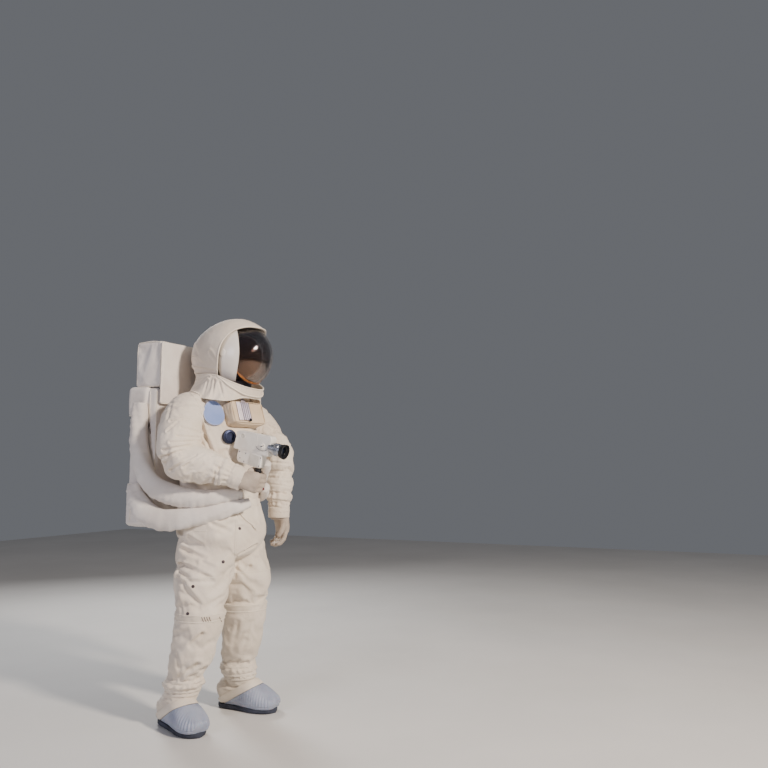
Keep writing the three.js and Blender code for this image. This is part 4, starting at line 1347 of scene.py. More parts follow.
# Hems and flap edges of the pack's covers
for name, level in (("pack_top_cover", 1444), ("pack_low_cover", 1112)):
    low, high = packBoxes[name][:2]
    for side, x in (("right", low[0] - 1), ("left", high[0] + 1)):
        hem = [[x, low[1] + 8, level], [x, 330, level], [x, high[1] - 14, level]]
        welt(name + "_hem_" + side, hem, 2.4, 84)
    back = [[low[0] + 14, high[1] + 1, level], [0, high[1] + 4, level], [high[0] - 14, high[1] + 1, level]]
    welt(name + "_hem_back", back, 2.4, 85)
for side, sign in (("right", -1), ("left", 1)):
    column = [[sign * 243, 292, 1120], [sign * 246, 291, 1280], [sign * 243, 292, 1436]]
    welt("side_flap_edge_" + side, column, 2.4, 86)
    front = [[sign * 236, 226, 936], [sign * 237, 225, 1250], [sign * 236, 226, 1560]]
    welt("pack_front_welt_" + side, front, 2.8, 87)
print("backpack ready", round(time.time() - started, 1))


# Hoses in loose fabric sleeves, from the pack's sides to the front of the waist
hoseTables = {
    "right_hose_upper": [
        [-272, 296, 1500, 28, 34], [-278, 292, 1380, 32, 40], [-284, 270, 1230, 34, 46],
        [-286, 190, 1112, 36, 48], [-262, 76, 1060, 34, 48], [-216, -40, 1050, 32, 42],
        [-150, -136, 1060, 30, 34], [-98, -180, 1068, 26, 28],
    ],
    "right_hose_lower": [
        [-272, 312, 1108, 28, 34], [-284, 290, 1050, 32, 44], [-290, 226, 984, 36, 52],
        [-276, 130, 950, 36, 52], [-246, 20, 956, 34, 46], [-190, -90, 980, 30, 38],
        [-124, -172, 1010, 26, 30], [-70, -205, 1024, 22, 24],
    ],
    "left_hose_upper": [
        [262, 250, 1240, 24, 24], [276, 200, 1170, 24, 24], [262, 90, 1120, 24, 24],
        [222, -20, 1104, 24, 24], [188, -100, 1140, 24, 24], [150, -150, 1190, 24, 24],
        [128, -166, 1216, 24, 24],
    ],
    "left_hose_lower": [
        [262, 250, 1150, 24, 24], [276, 196, 1080, 24, 24], [262, 90, 1030, 24, 24],
        [228, -20, 1030, 24, 24], [176, -120, 1056, 24, 24], [112, -172, 1094, 24, 24],
    ],
}


# Loose sleeve along a hose: smooth broad faces, long soft folds, and short puckers on its outer edge
def hoseSleeve(name, table, seed):
    table = np.asarray(table, float)
    length = np.linalg.norm(np.diff(table[:, :3], axis=0), axis=1).sum()
    rings = int(length / 4.5)
    sides = 72
    points = tubePoints(table, rings, sides, side=(0.857, 0.514, 0))
    centre = points.mean(1, keepdims=True)
    away = points - centre
    reach = np.linalg.norm(away, axis=2, keepdims=True)
    along = np.linspace(0, length, rings)[:, None, None]
    angle = roundTurns(sides)[None, :, None]
    random = np.random.default_rng(seed)
    wide = reach.mean() > 30
    lengthwise = 0
    for turns, wave, tall in ((2, 420, 1.6), (3, 300, 1.3), (5, 190, 0.9)):
        start = random.uniform(0, 6)
        lengthwise = lengthwise + tall * np.cos(turns * angle + 2 * np.pi * along / wave + start)
    pucker = 0
    for wave, lean in ((58, 0.6), (34, -0.5), (83, 0.9)):
        start = random.uniform(0, 6)
        drift = along + 14 * np.sin(along / 61 + start)
        pucker = pucker + np.cos(2 * np.pi * drift / wave + lean * np.sin(angle) + start)
    pucker = np.sign(pucker) * np.abs(pucker / 3) ** 0.7
    outer = 0.18 + 0.82 * np.clip(np.cos(angle - 1.5 * np.pi), 0, 1) ** 2
    lift = (lengthwise * (1.0 if wide else 0.5)) + pucker * outer * (3.2 if wide else 1.6)
    obj = newObject(name, points + away / reach * lift, gridFaces(rings, sides), packCloth)
    setForm(obj, wobble(formOf(obj), 0.012, 3.0, seed))
    return obj


for number, (name, table) in enumerate(hoseTables.items()):
    sleeve = hoseSleeve("sleeve_of_" + name, table, 90 + number)
    finishPiece(sleeve, *packSewn, name)
print("hoses ready", round(time.time() - started, 1))


# Chest control unit: a sewn cover over a box, pitched back on the chest. Sizes in millimetres
chestUnit = {"place": (-8, -125, 1450), "width": 218, "depth": 62, "height": 108, "pitch": -18, "yaw": -7}


def onChest(points):
    x, y, z = np.asarray(points, float).reshape(-1, 3).T
    pitch, yaw = math.radians(chestUnit["pitch"]), math.radians(chestUnit["yaw"])
    c, s = math.cos(pitch), math.sin(pitch)
    y, z = c * y - s * z, s * y + c * z
    c, s = math.cos(yaw), math.sin(yaw)
    return np.stack([c * x - s * y, s * x + c * y, z], -1) + chestUnit["place"]


halfX, halfY, halfZ = chestUnit["width"] / 2, chestUnit["depth"] / 2, chestUnit["height"] / 2
unitCloth = clothMaterial("quiltedUnitCover", "#e2cfb6", "#cdb798", 0.3, 0.25)
boxPoints, boxFaces = roundedBox([-halfX, -halfY, -halfZ], [halfX, halfY + 26, halfZ], 9, 5.5, 2.5)
unitCover = newObject("chest_unit_cover", onChest(boxPoints), boxFaces, unitCloth)
points = formOf(unitCover)
middle = points.mean(0)
edge = np.sort(np.abs(boxPoints / [halfX, halfY + 13, halfZ]), axis=1)[:, 1]
hold = np.clip((edge - 0.84) / 0.1, 0.05, 0.9)
cut = middle + (points - middle) * 1.02
settle(unitCover, wobble(cut, 0.02, 2, 7), hold, limit=4, bending=1.5)
setForm(unitCover, wobble(formOf(unitCover), 0.03, 1.0, 8))
finishPiece(unitCover, *sewnOn, "chest_unit")

# Seams of the cover: sewn cord round the front face, and two rows down each side
frontLoop = [(-1, -1), (1, -1), (1, 1), (-1, 1)]
loop = []
for (x0, z0), (x1, z1) in zip(frontLoop, frontLoop[1:] + frontLoop[:1]):
    for t in np.linspace(0, 1, 24, endpoint=False):
        u, v = x0 + (x1 - x0) * t, z0 + (z1 - z0) * t
        shrink = 1 - 0.035 * min(abs(u * v) ** 6, 1)
        loop.append([u * (halfX - 2) * shrink, -halfY + 1.5, v * (halfZ - 2) * shrink])
loop = wobble(np.array(loop), 0.03, 1.0, 9)
piping("chest_unit_front_seam", onChest(loop), 2.0, unitCloth, 8, True)
for number, depth in enumerate([-6, 12]):
    for side, mark in ((-1, "r"), (1, "l")):
        near, out = side * (halfX + 0.6), side * (halfX + 2.6)
        column = [[near, depth, -halfZ + 8], [out, depth, 0], [near, depth, halfZ - 8]]
        seamName = "chest_unit_side_seam_" + str(number + 1) + mark
        piping(seamName, onChest(smoothPath(column, 30)), 1.1, unitCloth, 6)

# Grey anodised bracket for a stills camera: a ribbed plate, a paler side plate, a latch tab and a stud
brushed = [(500.0, 2.0, 0.0003, 0.3)]
greyAnodised = mottledMaterial(
    "greyAnodisedAluminium", "#8d8795", "#9a94a2", "#7b7584", 25.0, brushed, Metallic=0.55, Roughness=0.42
)
paleAnodised = mottledMaterial(
    "paleAnodisedAluminium", "#b9b0b8", "#c3bac1", "#a79ea8", 25.0, Metallic=0.4, Roughness=0.45
)
bracketMetal = ("suit", "bracket_metal")


# Offset that makes a shell grow away from the unit's face
def outwards(obj):
    return 1 if normalsOf(obj)[:, 1].mean() > 0 else -1


# Ribbed plate on the unit's face, between two places across it
def ribbedPlate(name, left, right, lift, pitch, material):
    plate = []
    for z in np.linspace(-44, 48, 30):
        for x in np.linspace(left, right, 73):
            rib = 2.0 * (0.5 - 0.5 * math.cos(2 * math.pi * (x - left) / pitch))
            plate.append([x, -halfY - lift - rib, z])
    obj = newObject(name, onChest(plate), sheetFaces(30, 73), material)
    addModifier(obj, "SOLIDIFY", thickness=0.0045, offset=outwards(obj))
    addModifier(obj, "BEVEL", width=0.0006, segments=2, limit_method="ANGLE")
    applyAll(obj)
    return obj


bracket = ribbedPlate("chest_bracket_plate", -48, 6, 5.2, 13.5, greyAnodised)
finishPiece(bracket, *bracketMetal, "chest_unit_bracket")
finishPiece(ribbedPlate("chest_bracket_side_plate", -80, -49, 3.0, 10.3, paleAnodised), *bracketMetal)
tab = []
for z in np.linspace(0, 1, 16):
    half = 15.0 * math.sqrt(1 - max(0, z - 0.45) ** 2 / 0.56**2)
    for x in np.linspace(-1, 1, 25):
        tab.append([-31 + half * x, -halfY - 4.4 - 1.4 * (1 - x * x), 44 + 24 * z])
latchPlate = newObject("chest_bracket_latch", onChest(tab), sheetFaces(16, 25), paleAnodised)
thicken(latchPlate, 0.004, outwards(latchPlate))
finishPiece(latchPlate, *bracketMetal)


blackAnodised = mottledMaterial(
    "blackAnodisedAluminium", "#1b1c22", "#24262d", "#141519", 40.0, Metallic=0.5, Roughness=0.4
)
studFoot, unitCentre, unitAhead = onChest([[-10, -halfY - 3, -42], [0, 0, 0], [0, -1, 0]])
studProfile = [(0, 0), (8, 0), (8, 6), (6.5, 8), (3, 8.5), (0, 8.5)]
turned("chest_bracket_stud", studFoot, unitAhead - unitCentre, studProfile, blackAnodised, 40, bracketMetal)

# Gas and water connectors: anodised collars with a knurled ring and a shallow bore in front
# Columns: place, x, height, radius, length, colour
connectorRows = [
    ("upper_right", -127, 1337, 33, 26, "blue"),
    ("upper_left", 137, 1330, 33, 28, "red"),
    ("middle_left", 124, 1217, 28, 30, "blue"),
    ("lower_right", -112, 1056, 27, 30, "blue"),
    ("lower_left", 104, 1100, 28, 30, "red"),
]
anodised = {}
for colour, code in (("blue", "#363c55"), ("red", "#7d2f3a")):
    name = colour + "AnodisedAluminium"
    anodised[colour], tree, shader, place = newMaterial(name, code, Metallic=0.85, Roughness=0.32)
    wornPolish(tree, shader, place, 90.0, 3.0, 0.75, 0.25, 0.45)
connectorMetal = ("suit", "connector_metal")


# Short ring of straight ridges round an axis. ridges: points round it, points to a ridge, radius, height
def knurledRing(name, spot, axes, ends, ridges, material, belongs):
    way, first, second = axes
    count, period, radius, tall = ridges
    points = []
    for along in ends:
        for n in range(count):
            turn = 2 * math.pi * n / count
            reach = radius + tall * (n % period < period / 2)
            points.append(spot + way * along + (first * math.cos(turn) + second * math.sin(turn)) * reach)
    finishPiece(newObject(name, points, gridFaces(2, count), material, smooth=False), *belongs)


# Place and outward direction on the torso's front, across and up
def torsoFront(x, z):
    rows = np.array(torsoTable, float)
    mix = [np.interp(z, rows[:, 2], rows[:, k]) for k in range(5)]
    width, depth = mix[3], mix[4]
    lift = (1 - abs(x / width) ** 2.3) ** (1 / 2.3)
    out = np.array([x / width**2, -lift * depth / depth**2, 0])
    return np.array([x, mix[1] - depth * lift, z]), out / np.linalg.norm(out)


for name, x, z, radius, length, colour in connectorRows:
    spot, out = torsoFront(x, z)
    profile = [
        (radius - 4, -26), (radius, -24), (radius, 5), (radius - 1, 6), (radius - 3, 6.5),
        (radius - 3, 9), (radius - 0.5, 9.5), (radius, 10.5), (radius, length - 6),
        (radius - 1, length - 4.5), (radius - 5, length - 4), (radius - 6, length - 1),
        (radius - 8, length), (radius - 12, length), (radius - 13.5, length - 2),
        (radius - 13.5, length - 6), (0, length - 6),
    ]
    belongs = (*connectorMetal, "connector_" + name)
    turned("connector_body_" + name, spot, out, profile, anodised[colour], 64, belongs)
    axes = (out, *squareTo(out, [0, 0, 1.0]))
    gripEnds, ridges = (11.5, length - 7), (144, 6, radius + 0.3, 1.0)
    knurledRing("connector_grip_" + name, spot, axes, gripEnds, ridges, blackAnodised, connectorMetal)

# Chest badge: a plain muted blue disc with a raised sewn rim, laid on the torso
badgeCloth = clothMaterial("blueEmbroideredTwill", "#8b9fd2", "#7b90c6", 0.05, 0.05)
badgeSurface = surfaceOf(torso)
badgeColumn, badgeRow = 214, 414
badgeSpot, badgeNormal = seen(badgeSurface, badgeColumn, badgeRow)
badgeNormal = towardsCamera(badgeSpot, badgeNormal)
badgeRadius = 0.0575
badgeUp = unit(np.array([0, 0, 1.0]) - badgeNormal * badgeNormal[2])
badgeAcross = np.cross(badgeUp, badgeNormal)


# The badge bows gently over the chest: a curved sheet fitted to the torso's cloth under it
def quadraticTerms(u, v):
    return [1, u, v, u * u, u * v, v * v]


fitTerms, fitHeights = [], []
for u in np.linspace(-1, 1, 11):
    for v in np.linspace(-1, 1, 11):
        start = badgeSpot + badgeNormal * 0.06 + (badgeAcross * u + badgeUp * v) * badgeRadius
        hit = badgeSurface.ray_cast(Vector(start), Vector(-badgeNormal))
        if hit[0] and u * u + v * v < 1.1:
            fitTerms.append(quadraticTerms(u, v))
            fitHeights.append(0.06 - hit[3])
badgeFit = np.linalg.lstsq(np.array(fitTerms), np.array(fitHeights), rcond=None)[0]
badgeProud = (np.array(fitHeights) - np.array(fitTerms) @ badgeFit).max() * 0.8


def onBadge(radius, turn, lift):
    u, v = 0.9 * radius * math.cos(turn) / badgeRadius, 1.08 * radius * math.sin(turn) / badgeRadius
    height = float(np.array(quadraticTerms(u, v)) @ badgeFit) + badgeProud + lift
    spot = badgeSpot + (badgeAcross * u + badgeUp * v) * badgeRadius + badgeNormal * height
    return spot * 1000 - shift


badgeTurns = [2 * math.pi * n / 96 for n in range(96)]
badgeRows = []
for radius in np.linspace(0, 1, 26):
    lift = 0.0022 + 0.0014 * math.exp(-(((radius - 0.955) / 0.035) ** 2)) - 0.002 * (radius > 0.985)
    badgeRows.append([onBadge(badgeRadius * max(radius, 0.004), turn, lift) for turn in badgeTurns])
badge = newObject("chest_badge", badgeRows, gridFaces(26, 96, False), badgeCloth)
thicken(badge, 0.005)
finishPiece(badge, *sewnOn)
rim = [onBadge(badgeRadius * 0.975, turn, 0.003) for turn in badgeTurns]
badgeEdge = clothMaterial("merrowedBadgeEdge", "#b3bbd6", "#99a3c6", 0.05, 0.05)
piping("chest_badge_edge", rim, 1.9, badgeEdge, 8, True)
print("chest ready", round(time.time() - started, 1))


# Wrist rings: anodised metal, and gloves with a moulded palm and four curled fingers
armEnds = {
    "right": (np.array([-164, -213, 1143.0]), np.array([-208, -142, 1180.0])),
    "left": (np.array([296, -137, 956.0]), np.array([299, -137, 1076.0])),
}
# Ring metal: anodised, toned dark as painted shade so the neck ring under the visor reads as shadow; wrist
# rings, screws and crank share it
shadeDarkRingMetal, tree, shader, place = newMaterial("satinAnodisedRingDarkAsShade", "#5d5c68", Metallic=0.85, Roughness=0.4)
ringNoise = grainNode(tree, place, 120.0, 2.0)
bump(tree, shader, [(ringNoise.outputs["Fac"], 0.0003, 0.3)])
gloveGrain = [(60.0, 3.0, 0.002, 0.35), (420.0, 1.0, 0.0006, 0.4)]
gloveRubber = mottledMaterial(
    "siliconeDippedGloveCloth", "#b5a79a", "#bfb1a3", "#9f9184", 18.0, gloveGrain,
    Roughness=0.6, Sheen_Weight=0.1, Sheen_Roughness=0.5,
)
cameraPitchDown = math.radians(15)
filmCameraPlace = np.array([-112, -258, 1302.0])
filmAhead = np.array([0, -math.cos(cameraPitchDown), -math.sin(cameraPitchDown)])
filmUp = np.array([0, -math.sin(cameraPitchDown), math.cos(cameraPitchDown)])
fingers = [(33, 0.96, 12.5), (11, 1.04, 13), (-11, 1.0, 12.5), (-32, 0.82, 11.5)]
thumbRadii = [17, 16, 14, 11]
phalanxes = [47, 33, 26]


# Place along the film camera's own axes
def onFilmCamera(along, across, up):
    return filmCameraPlace + filmAhead * along + np.array([1.0, 0, 0]) * across + filmUp * up


# Hand from its wrist and three directions. curls are in degrees; thumb is along, across and deep
def handObject(name, wrist, ahead, thumbSide, palm, curls, thumb):
    def at(along, across, deep):
        return wrist + ahead * along + thumbSide * across + palm * deep

    def row(point, width, depth):
        return [*point, width, depth]

    palmRows = [
        row(at(-16, 0, -14), 38, 35),
        row(at(-2, 0, -14), 40, 36),
        row(at(24, 2, -16), 44, 30),
        row(at(52, 2, -18), 48, 24),
        row(at(80, 0, -18), 46, 19),
    ]
    pieces = [tubeObject(name, palmRows, 30, 48, gloveRubber, side=thumbSide, square=2.6)]
    knuckles = []
    for number, (across, share, radius) in enumerate(fingers):
        point = at(70, across, -16)
        rows = [row(at(50, across * 0.9, -15), radius, radius), row(point, radius, radius)]
        for n, length in enumerate(phalanxes):
            curl = math.radians(curls[n])
            way = ahead * math.cos(curl) + palm * math.sin(curl)
            middle = point + way * length * share * 0.5
            scale = 1 - 0.07 * n - 0.035
            rows.append(row(middle, radius * scale * 1.05, radius * scale * 1.05))
            point = point + way * length * share
            joint = 1 - 0.07 * (n + 1)
            if n == len(phalanxes) - 1:
                rows.append(row(point - way * 3, radius * joint * 0.85, radius * joint * 0.85))
                rows.append(row(point + way * 2, radius * joint * 0.45, radius * joint * 0.45))
            else:
                rows.append(row(point, radius * joint, radius * joint))
                knuckles.append((point.copy(), radius))
        pieces.append(tubeObject("finger" + str(number), rows, 48, 24, side=thumbSide))
    rows = [row(at(*place), radius, radius) for place, radius in zip(thumb, thumbRadii)]
    tip = np.array(rows[-1][:3]) + unit(np.array(rows[-1][:3]) - np.array(rows[-2][:3])) * 8
    rows.append([*tip, 5, 5])
    pieces.append(tubeObject("thumb", rows, 40, 24, side=palm))
    glove = joinObjects(pieces)
    remesh(glove, 2.9, 4)
    setForm(glove, wobble(formOf(glove), 0.05, 1.2, 33))
    smoothOut(glove, 2)
    dress(glove, gloveRubber)
    return glove


ringProfile = [
    (42, 0.4), (45, 0.6), (46, 1.6), (46, 4.5), (44.5, 5.2), (44.5, 7.4), (46, 8.1), (46, 14.5), (45, 15.6),
    (42, 15.8),
]
bandProfile = [
    (52.5, -30), (52.5, -30), (54.2, -22), (54.5, -10), (54, 2), (54.6, 12), (54, 18), (52, 20.5),
    (49.5, 20), (48.6, 16), (48.6, -2), (48.6, -2),
]
cuffProfile = [(38, 16.4), (41, 17), (42, 22), (41, 28), (39.5, 30), (36, 29)]

# The near hand holds the film camera's grip; the far one hangs with its fingers lightly curled
rightEnd, rightBefore = armEnds["right"]
rightWay = unit(rightEnd - rightBefore)
gripAhead = unit(rightWay - filmUp * np.dot(rightWay, filmUp))
gripPalm = np.cross(filmUp, gripAhead)
gripWrist = onFilmCamera(57, 0, -167) - gripAhead * 62 - gripPalm * 21
gripThumb = [(18, 26, -4), (30, 44, 22), (48, 46, 50), (74, 38, 66)]
leftEnd, leftBefore = armEnds["left"]
leftWrist = leftEnd + unit(leftEnd - leftBefore) * 14
hangingWays = [unit(np.array(way)) for way in ([0.02, -0.06, -1.0], [-0.35, -0.93, 0.05], [-0.93, 0.35, 0.0])]
hangingThumb = [(18, 26, -4), (46, 42, 8), (72, 46, 22), (96, 40, 36)]
handPlans = {
    "right": (gripWrist, gripAhead, filmUp, gripPalm, [54, 123, 180], gripThumb),
    "left": (leftWrist, *hangingWays, [18, 48, 80], hangingThumb),
}
for side, handPlan in handPlans.items():
    end, before = armEnds[side]
    way = unit(end - before)
    ringBelongs = ("suit", "ring_metal", side + "_wrist_ring")
    turned("wrist_ring_" + side, end, way, ringProfile, shadeDarkRingMetal, 72, ringBelongs)

    # Cloth band that is sewn to the sleeve and drawn over the ring, its hem turned in
    band = turned("wrist_cloth_band_" + side, end, way, bandProfile, suitCloth, 80, sewnOn)
    setForm(band, wobble(formOf(band), 0.02, 1.2, 41))
    glove = handObject("glove_" + side, *handPlan)
    points, faces = formOf(glove), [list(p.vertices) for p in glove.data.polygons]
    points, faces = cutAway(points, faces, [((end + way * 16.3).tolist(), (-way).tolist())])
    bpy.data.objects.remove(glove)
    glove = newObject("glove_" + side, points, faces, gloveRubber)
    thicken(glove, 0.0015)
    handBelongs = ("hand_" + side, "glove_rubber")
    finishPiece(glove, *handBelongs, side + "_glove")
    turned("glove_cuff_band_" + side, end, way, cuffProfile, gloveRubber, 60, handBelongs)
print("gloves ready", round(time.time() - started, 1))


# Film camera in the right hand: cast body, drive block, lens with hood, crank dial and grip.
# Sizes are along, across and up in the camera's own axes
whitePaint = mottledMaterial(
    "hammeredWhitePaint", "#f2efe8", "#f5f2ec", "#e4dfd6", 14.0, [(380.0, 2.0, 0.0004, 0.3)],
    Roughness=0.36, Coat_Weight=0.2, Coat_Roughness=0.25,
)
leatherette, tree, shader, place = newMaterial("paleGreyLeatherette", "#d9d5cc", Roughness=0.6)
mottle(tree, shader, place, "#dedad1", "#c9c4ba", 30.0)
pebble = addNode(tree, "TexVoronoi", {"Scale": 520.0}, {"Vector": place})
bump(tree, shader, [(pebble.outputs["Distance"], 0.0006, 0.5)])
lensAluminium, tree, shader, place = newMaterial(
    "turnedLensAluminium", "#c6c9d0", Metallic=1.0, Roughness=0.22
)
wornPolish(tree, shader, place, 260.0, 2.0, 0.7, 0.16, 0.34)
blackPaint = mottledMaterial("satinBlackPaint", "#121217", "#191920", "#0c0c10", 30.0, Roughness=0.4)
coatedGlass = mottledMaterial(
    "coatedFrontGlass", "#0b1020", "#10182c", "#070a14", 5.0, Roughness=0.03, IOR=1.52, Coat_Weight=1.0
)
cameraPaint, lensMetal = ("hand_right", "camera_paint"), ("hand_right", "lens_metal")
blackPlastic = ("hand_right", "black_plastic")


# Rounded body from an outline in along and up, given thickness across and soft edges
def castBody(name, outline, halfWidth, edge, node):
    roundness = 7
    outline = np.array(outline, float)
    rounded = []
    for n in range(len(outline)):
        before, here, after = outline[n - 1], outline[n], outline[(n + 1) % len(outline)]
        toBefore, toAfter = unit(before - here), unit(after - here)
        soft = min(roundness, 0.45 * np.linalg.norm(before - here), 0.45 * np.linalg.norm(after - here))
        start, end = here + toBefore * soft, here + toAfter * soft
        for t in np.linspace(0, 1, 9):
            rounded.append((1 - t) ** 2 * start + 2 * t * (1 - t) * here + t**2 * end)
    rounded = np.array(rounded)
    centre = rounded.mean(0)
    rings = []
    for turn in np.linspace(0, math.pi / 2, 6):
        rings.append((edge * (1 - math.sin(turn)), -halfWidth + edge * (1 - math.cos(turn))))
    rings += [(inset, -across) for inset, across in rings[::-1]]
    tangent = np.roll(rounded, -1, 0) - np.roll(rounded, 1, 0)
    normal = np.stack([tangent[:, 1], -tangent[:, 0]], -1)
    normal /= np.maximum(np.linalg.norm(normal, axis=1)[:, None], 1e-9)
    if ((rounded - centre) * normal).sum() < 0:
        normal = -normal
    points = []
    for inset, across in rings:
        points += [onFilmCamera(along, across, up) for along, up in rounded - normal * inset]
    obj = newObject(name, points, gridFaces(len(rings), len(rounded)), whitePaint)
    splitEdges(obj, 40)
    finishPiece(obj, *cameraPaint, node)


bodyOutline = [(-96, -46), (-96, 38), (-84, 46), (92, 58), (102, 50), (102, -37), (0, -40)]
castBody("film_camera_body", bodyOutline, 23, 4.5, "camera_body")
driveOutline = [(-66, -33), (-66, -84), (-54, -100.7), (68, -100.7), (72, -96), (72, -33)]
castBody("film_camera_drive", driveOutline, 21, 4, "camera_drive_block")

# Fittings on both flanks: film door line, recess ring, latch, leatherette panel and screws
doorOutline = [(-88, 30), (-88, -36), (-80, -40), (16, -34), (18, 44), (-80, 39), (-88, 30)]
lockProfile = [(0, -1), (10.5, -1), (10.5, 0.8), (8.5, 1.0), (7.5, 0.4), (3, 0.4), (2.4, 1.6), (0, 1.8)]
screwProfile = [(0, -0.5), (2.6, -0.5), (2.6, 0.7), (2.0, 1.1), (0, 1.2)]
screwPlaces = [(-56, -52), (-46, -80), (-20, -52), (-20, -90), (67, -52), (67, -90)]
scaleTurns = np.linspace(math.radians(205), math.radians(330), 40)
lockTurns = roundTurns(60)
for side, sign in (("near", -1), ("far", 1)):
    face = sign * 23.2
    lower = sign * 21.2

    def flat(places, lift):
        return [onFilmCamera(along, face + sign * lift, up) for along, up in places]

    door = smoothPath(doorOutline, 110)
    piping("film_door_seam_" + side, flat(door, 0), 0.7, whitePaint, 6, belongs=cameraPaint)
    ring = [(-58 + 13 * math.cos(a), 22 + 13 * math.sin(a)) for a in lockTurns]
    piping("film_door_lock_rim_" + side, flat(ring, 0.2), 1.3, whitePaint, 8, True, cameraPaint)
    lockSpot = onFilmCamera(-58, face, 22)
    turned("film_door_lock_" + side, lockSpot, [sign, 0, 0], lockProfile, leatherette, 48, cameraPaint)
    scaleArc = [(60 + 36 * math.cos(a), 6 + 24 * math.sin(a)) for a in scaleTurns]
    piping("footage_scale_" + side, flat(scaleArc, 0.1), 1.0, blackPaint, 6, belongs=cameraPaint)
    panelPoints, panelFaces = roundedBox([4, -1.0, -92], [62, 1.0, -46], 0.9, 6, 0.2)
    placed = [onFilmCamera(along, lower + sign * 0.6 + across, up) for along, across, up in panelPoints]
    finishPiece(newObject("drive_panel_" + side, placed, panelFaces, leatherette), *cameraPaint)
    for number, (along, up) in enumerate(screwPlaces):
        screwName = "drive_screw_" + side + "_" + str(number + 1)
        screwSpot = onFilmCamera(along, lower, up)
        turned(screwName, screwSpot, [sign, 0, 0], screwProfile, shadeDarkRingMetal, 24, cameraPaint)

# Crank dial on the near flank with its ring and folding handle
dialProfile = [
    (0, -0.4), (17, -0.4), (17, 2.2), (16.2, 3.0), (14, 3.2), (13.2, 2.4), (11, 2.4), (10.4, 6.5),
    (9.6, 8.6), (8, 9.4), (0, 9.6),
]
dialBelongs = (*cameraPaint, "camera_side_dial")
turned("film_camera_dial", onFilmCamera(60, -23.3, 0), [-1, 0, 0], dialProfile, whitePaint, 72, dialBelongs)
crank = [onFilmCamera(along, -33.4, up) for along, up in smoothPath([(60, 0), (66, 4), (72, 8)], 20)]
piping("film_camera_crank", crank, 2.2, shadeDarkRingMetal, 12, belongs=cameraPaint)

# Lens: turned barrel with a knurled focus ring, and a black flared hood round the front glass
barrelProfile = [
    (0, 0), (27, 0), (27, 9), (25.5, 10), (25.5, 14), (28.5, 15), (28.5, 30), (27, 31), (27, 34),
    (29.2, 35), (29.2, 52), (28.4, 53), (28.4, 56), (30, 57), (30, 63.6), (24, 63.6), (23, 58), (0, 58),
]
lensHoodProfile = [
    (24, 0), (31, 0), (31.4, 4), (33, 5), (35, 19.2), (34.4, 19.7), (32.2, 19.7), (30.8, 19), (27, 8),
    (24, 7), (24, 0),
]
glassProfile = [(0, 0), (23, 0), (23, 4), (20, 6.0), (14, 7.8), (7, 8.8), (0, 9.2)]
# Columns: name, place along, profile, material, sides, body, slot and solid
lensParts = [
    ("film_lens_barrel", 92.3, barrelProfile, lensAluminium, 96, (*lensMetal, "camera_lens")),
    ("film_lens_hood", 156.3, lensHoodProfile, blackPaint, 96, (*blackPlastic, "lens_hood")),
    ("film_lens_front_glass", 150.5, glassProfile, coatedGlass, 72, lensMetal),
]
for name, along, profile, material, sides, belongs in lensParts:
    turned(name, onFilmCamera(along, 0, 4), filmAhead, profile, material, sides, belongs)
lensAxes = (filmAhead, np.array([1.0, 0, 0]), filmUp)
focusRidges = (240, 4, 29.4, 0.9)
focusSpot = onFilmCamera(92.3, 0, 4)
knurledRing("film_lens_focus_ring", focusSpot, lensAxes, (37, 50), focusRidges, lensAluminium, lensMetal)

# Grip: black handle with soft rings, turned in one piece from its foot up to the drive block
gripProfile = [(0, -220), (10, -220), (13, -217.5), (13, -212), (12, -210)]
for level in np.arange(-206, -112, 8):
    gripProfile += [(12, level), (13, level + 1.5), (13, level + 5), (12, level + 6.5)]
gripProfile += [(13, -106), (13, -101.2), (0, -101.2)]
gripBelongs = (*blackPlastic, "camera_handle")
turned("film_camera_grip", onFilmCamera(57, 0, 0), filmUp, gripProfile, blackPaint, 48, gripBelongs)
print("film camera ready", round(time.time() - started, 1))


# Sewn details of the trousers: piping round both knees, dark lacing, snap studs and seams
legSurface = surfaceOf(trousers)


# Closed path round a leg at a height, lying on the cloth
def legRing(table, level):
    lift = 0.6
    x, y = legAxis(table, [level])[0]
    path = []
    for turn in roundTurns(100):
        way = np.array([math.cos(turn), math.sin(turn), 0])
        start = Vector((np.array([x, y, level]) + shift) / 1000)
        hit = legSurface.ray_cast(start, Vector(way))[0]
        if hit:
            path.append(np.array(hit) * 1000 - shift + way * lift)
    return path


# Piping of each knee band. Columns: name, height, radius
kneeLines = [("upper", kneeTop, 2.6), ("upper_inner", 519, 1.6), ("lower", kneeFoot, 2.6)]
for side, table in (("right", rightLegTable), ("left", leftLegTable)):
    for name, level, radius in kneeLines:
        piping("knee_piping_" + name + "_" + side, legRing(table, level), radius, pipingCloth, 8, True)
piping("thigh_seam_left", legRing(leftLegTable, 690), 1.6, pipingCloth, 8, True)

darkCord = clothMaterial("waxedBrownLacingCord", "#6b5146", "#553f37", 0.05, 0.05)


# Cord laid on a surface along places seen in the photograph
def sewnCord(name, surface, places, radius, material=pipingCloth, belongs=sewnOn):
    found = [spot * 1000 - shift + normal * 0.6 for spot, normal in seenLine(surface, places, 0.5)]
    if len(found) > 3:
        piping(name, found, radius, material, belongs=belongs)


kneeStitches = [201.5, 204, 206.5, 209, 219.5]
for number, across in enumerate(kneeStitches):
    stitch = [(across, 616.8), (across + 0.9, 619.5), (across + 2.2, 621.8)]
    sewnCord("knee_lacing_" + str(number + 1), legSurface, stitch, 1.5, darkCord)
# Columns: name, places in the photograph, radius
trouserSeams = [
    ("crotch_seam", [(236, 521), (235.4, 532), (235, 544), (235, 555)], 1.8),
    ("left_pocket_seam", [(254, 543), (247, 548), (240, 554), (236, 558)], 2.0),
    ("right_pocket_seam", [(186, 534), (196, 531), (207, 530.5)], 1.6),
]
for name, places, radius in trouserSeams:
    sewnCord(name, legSurface, places, radius)

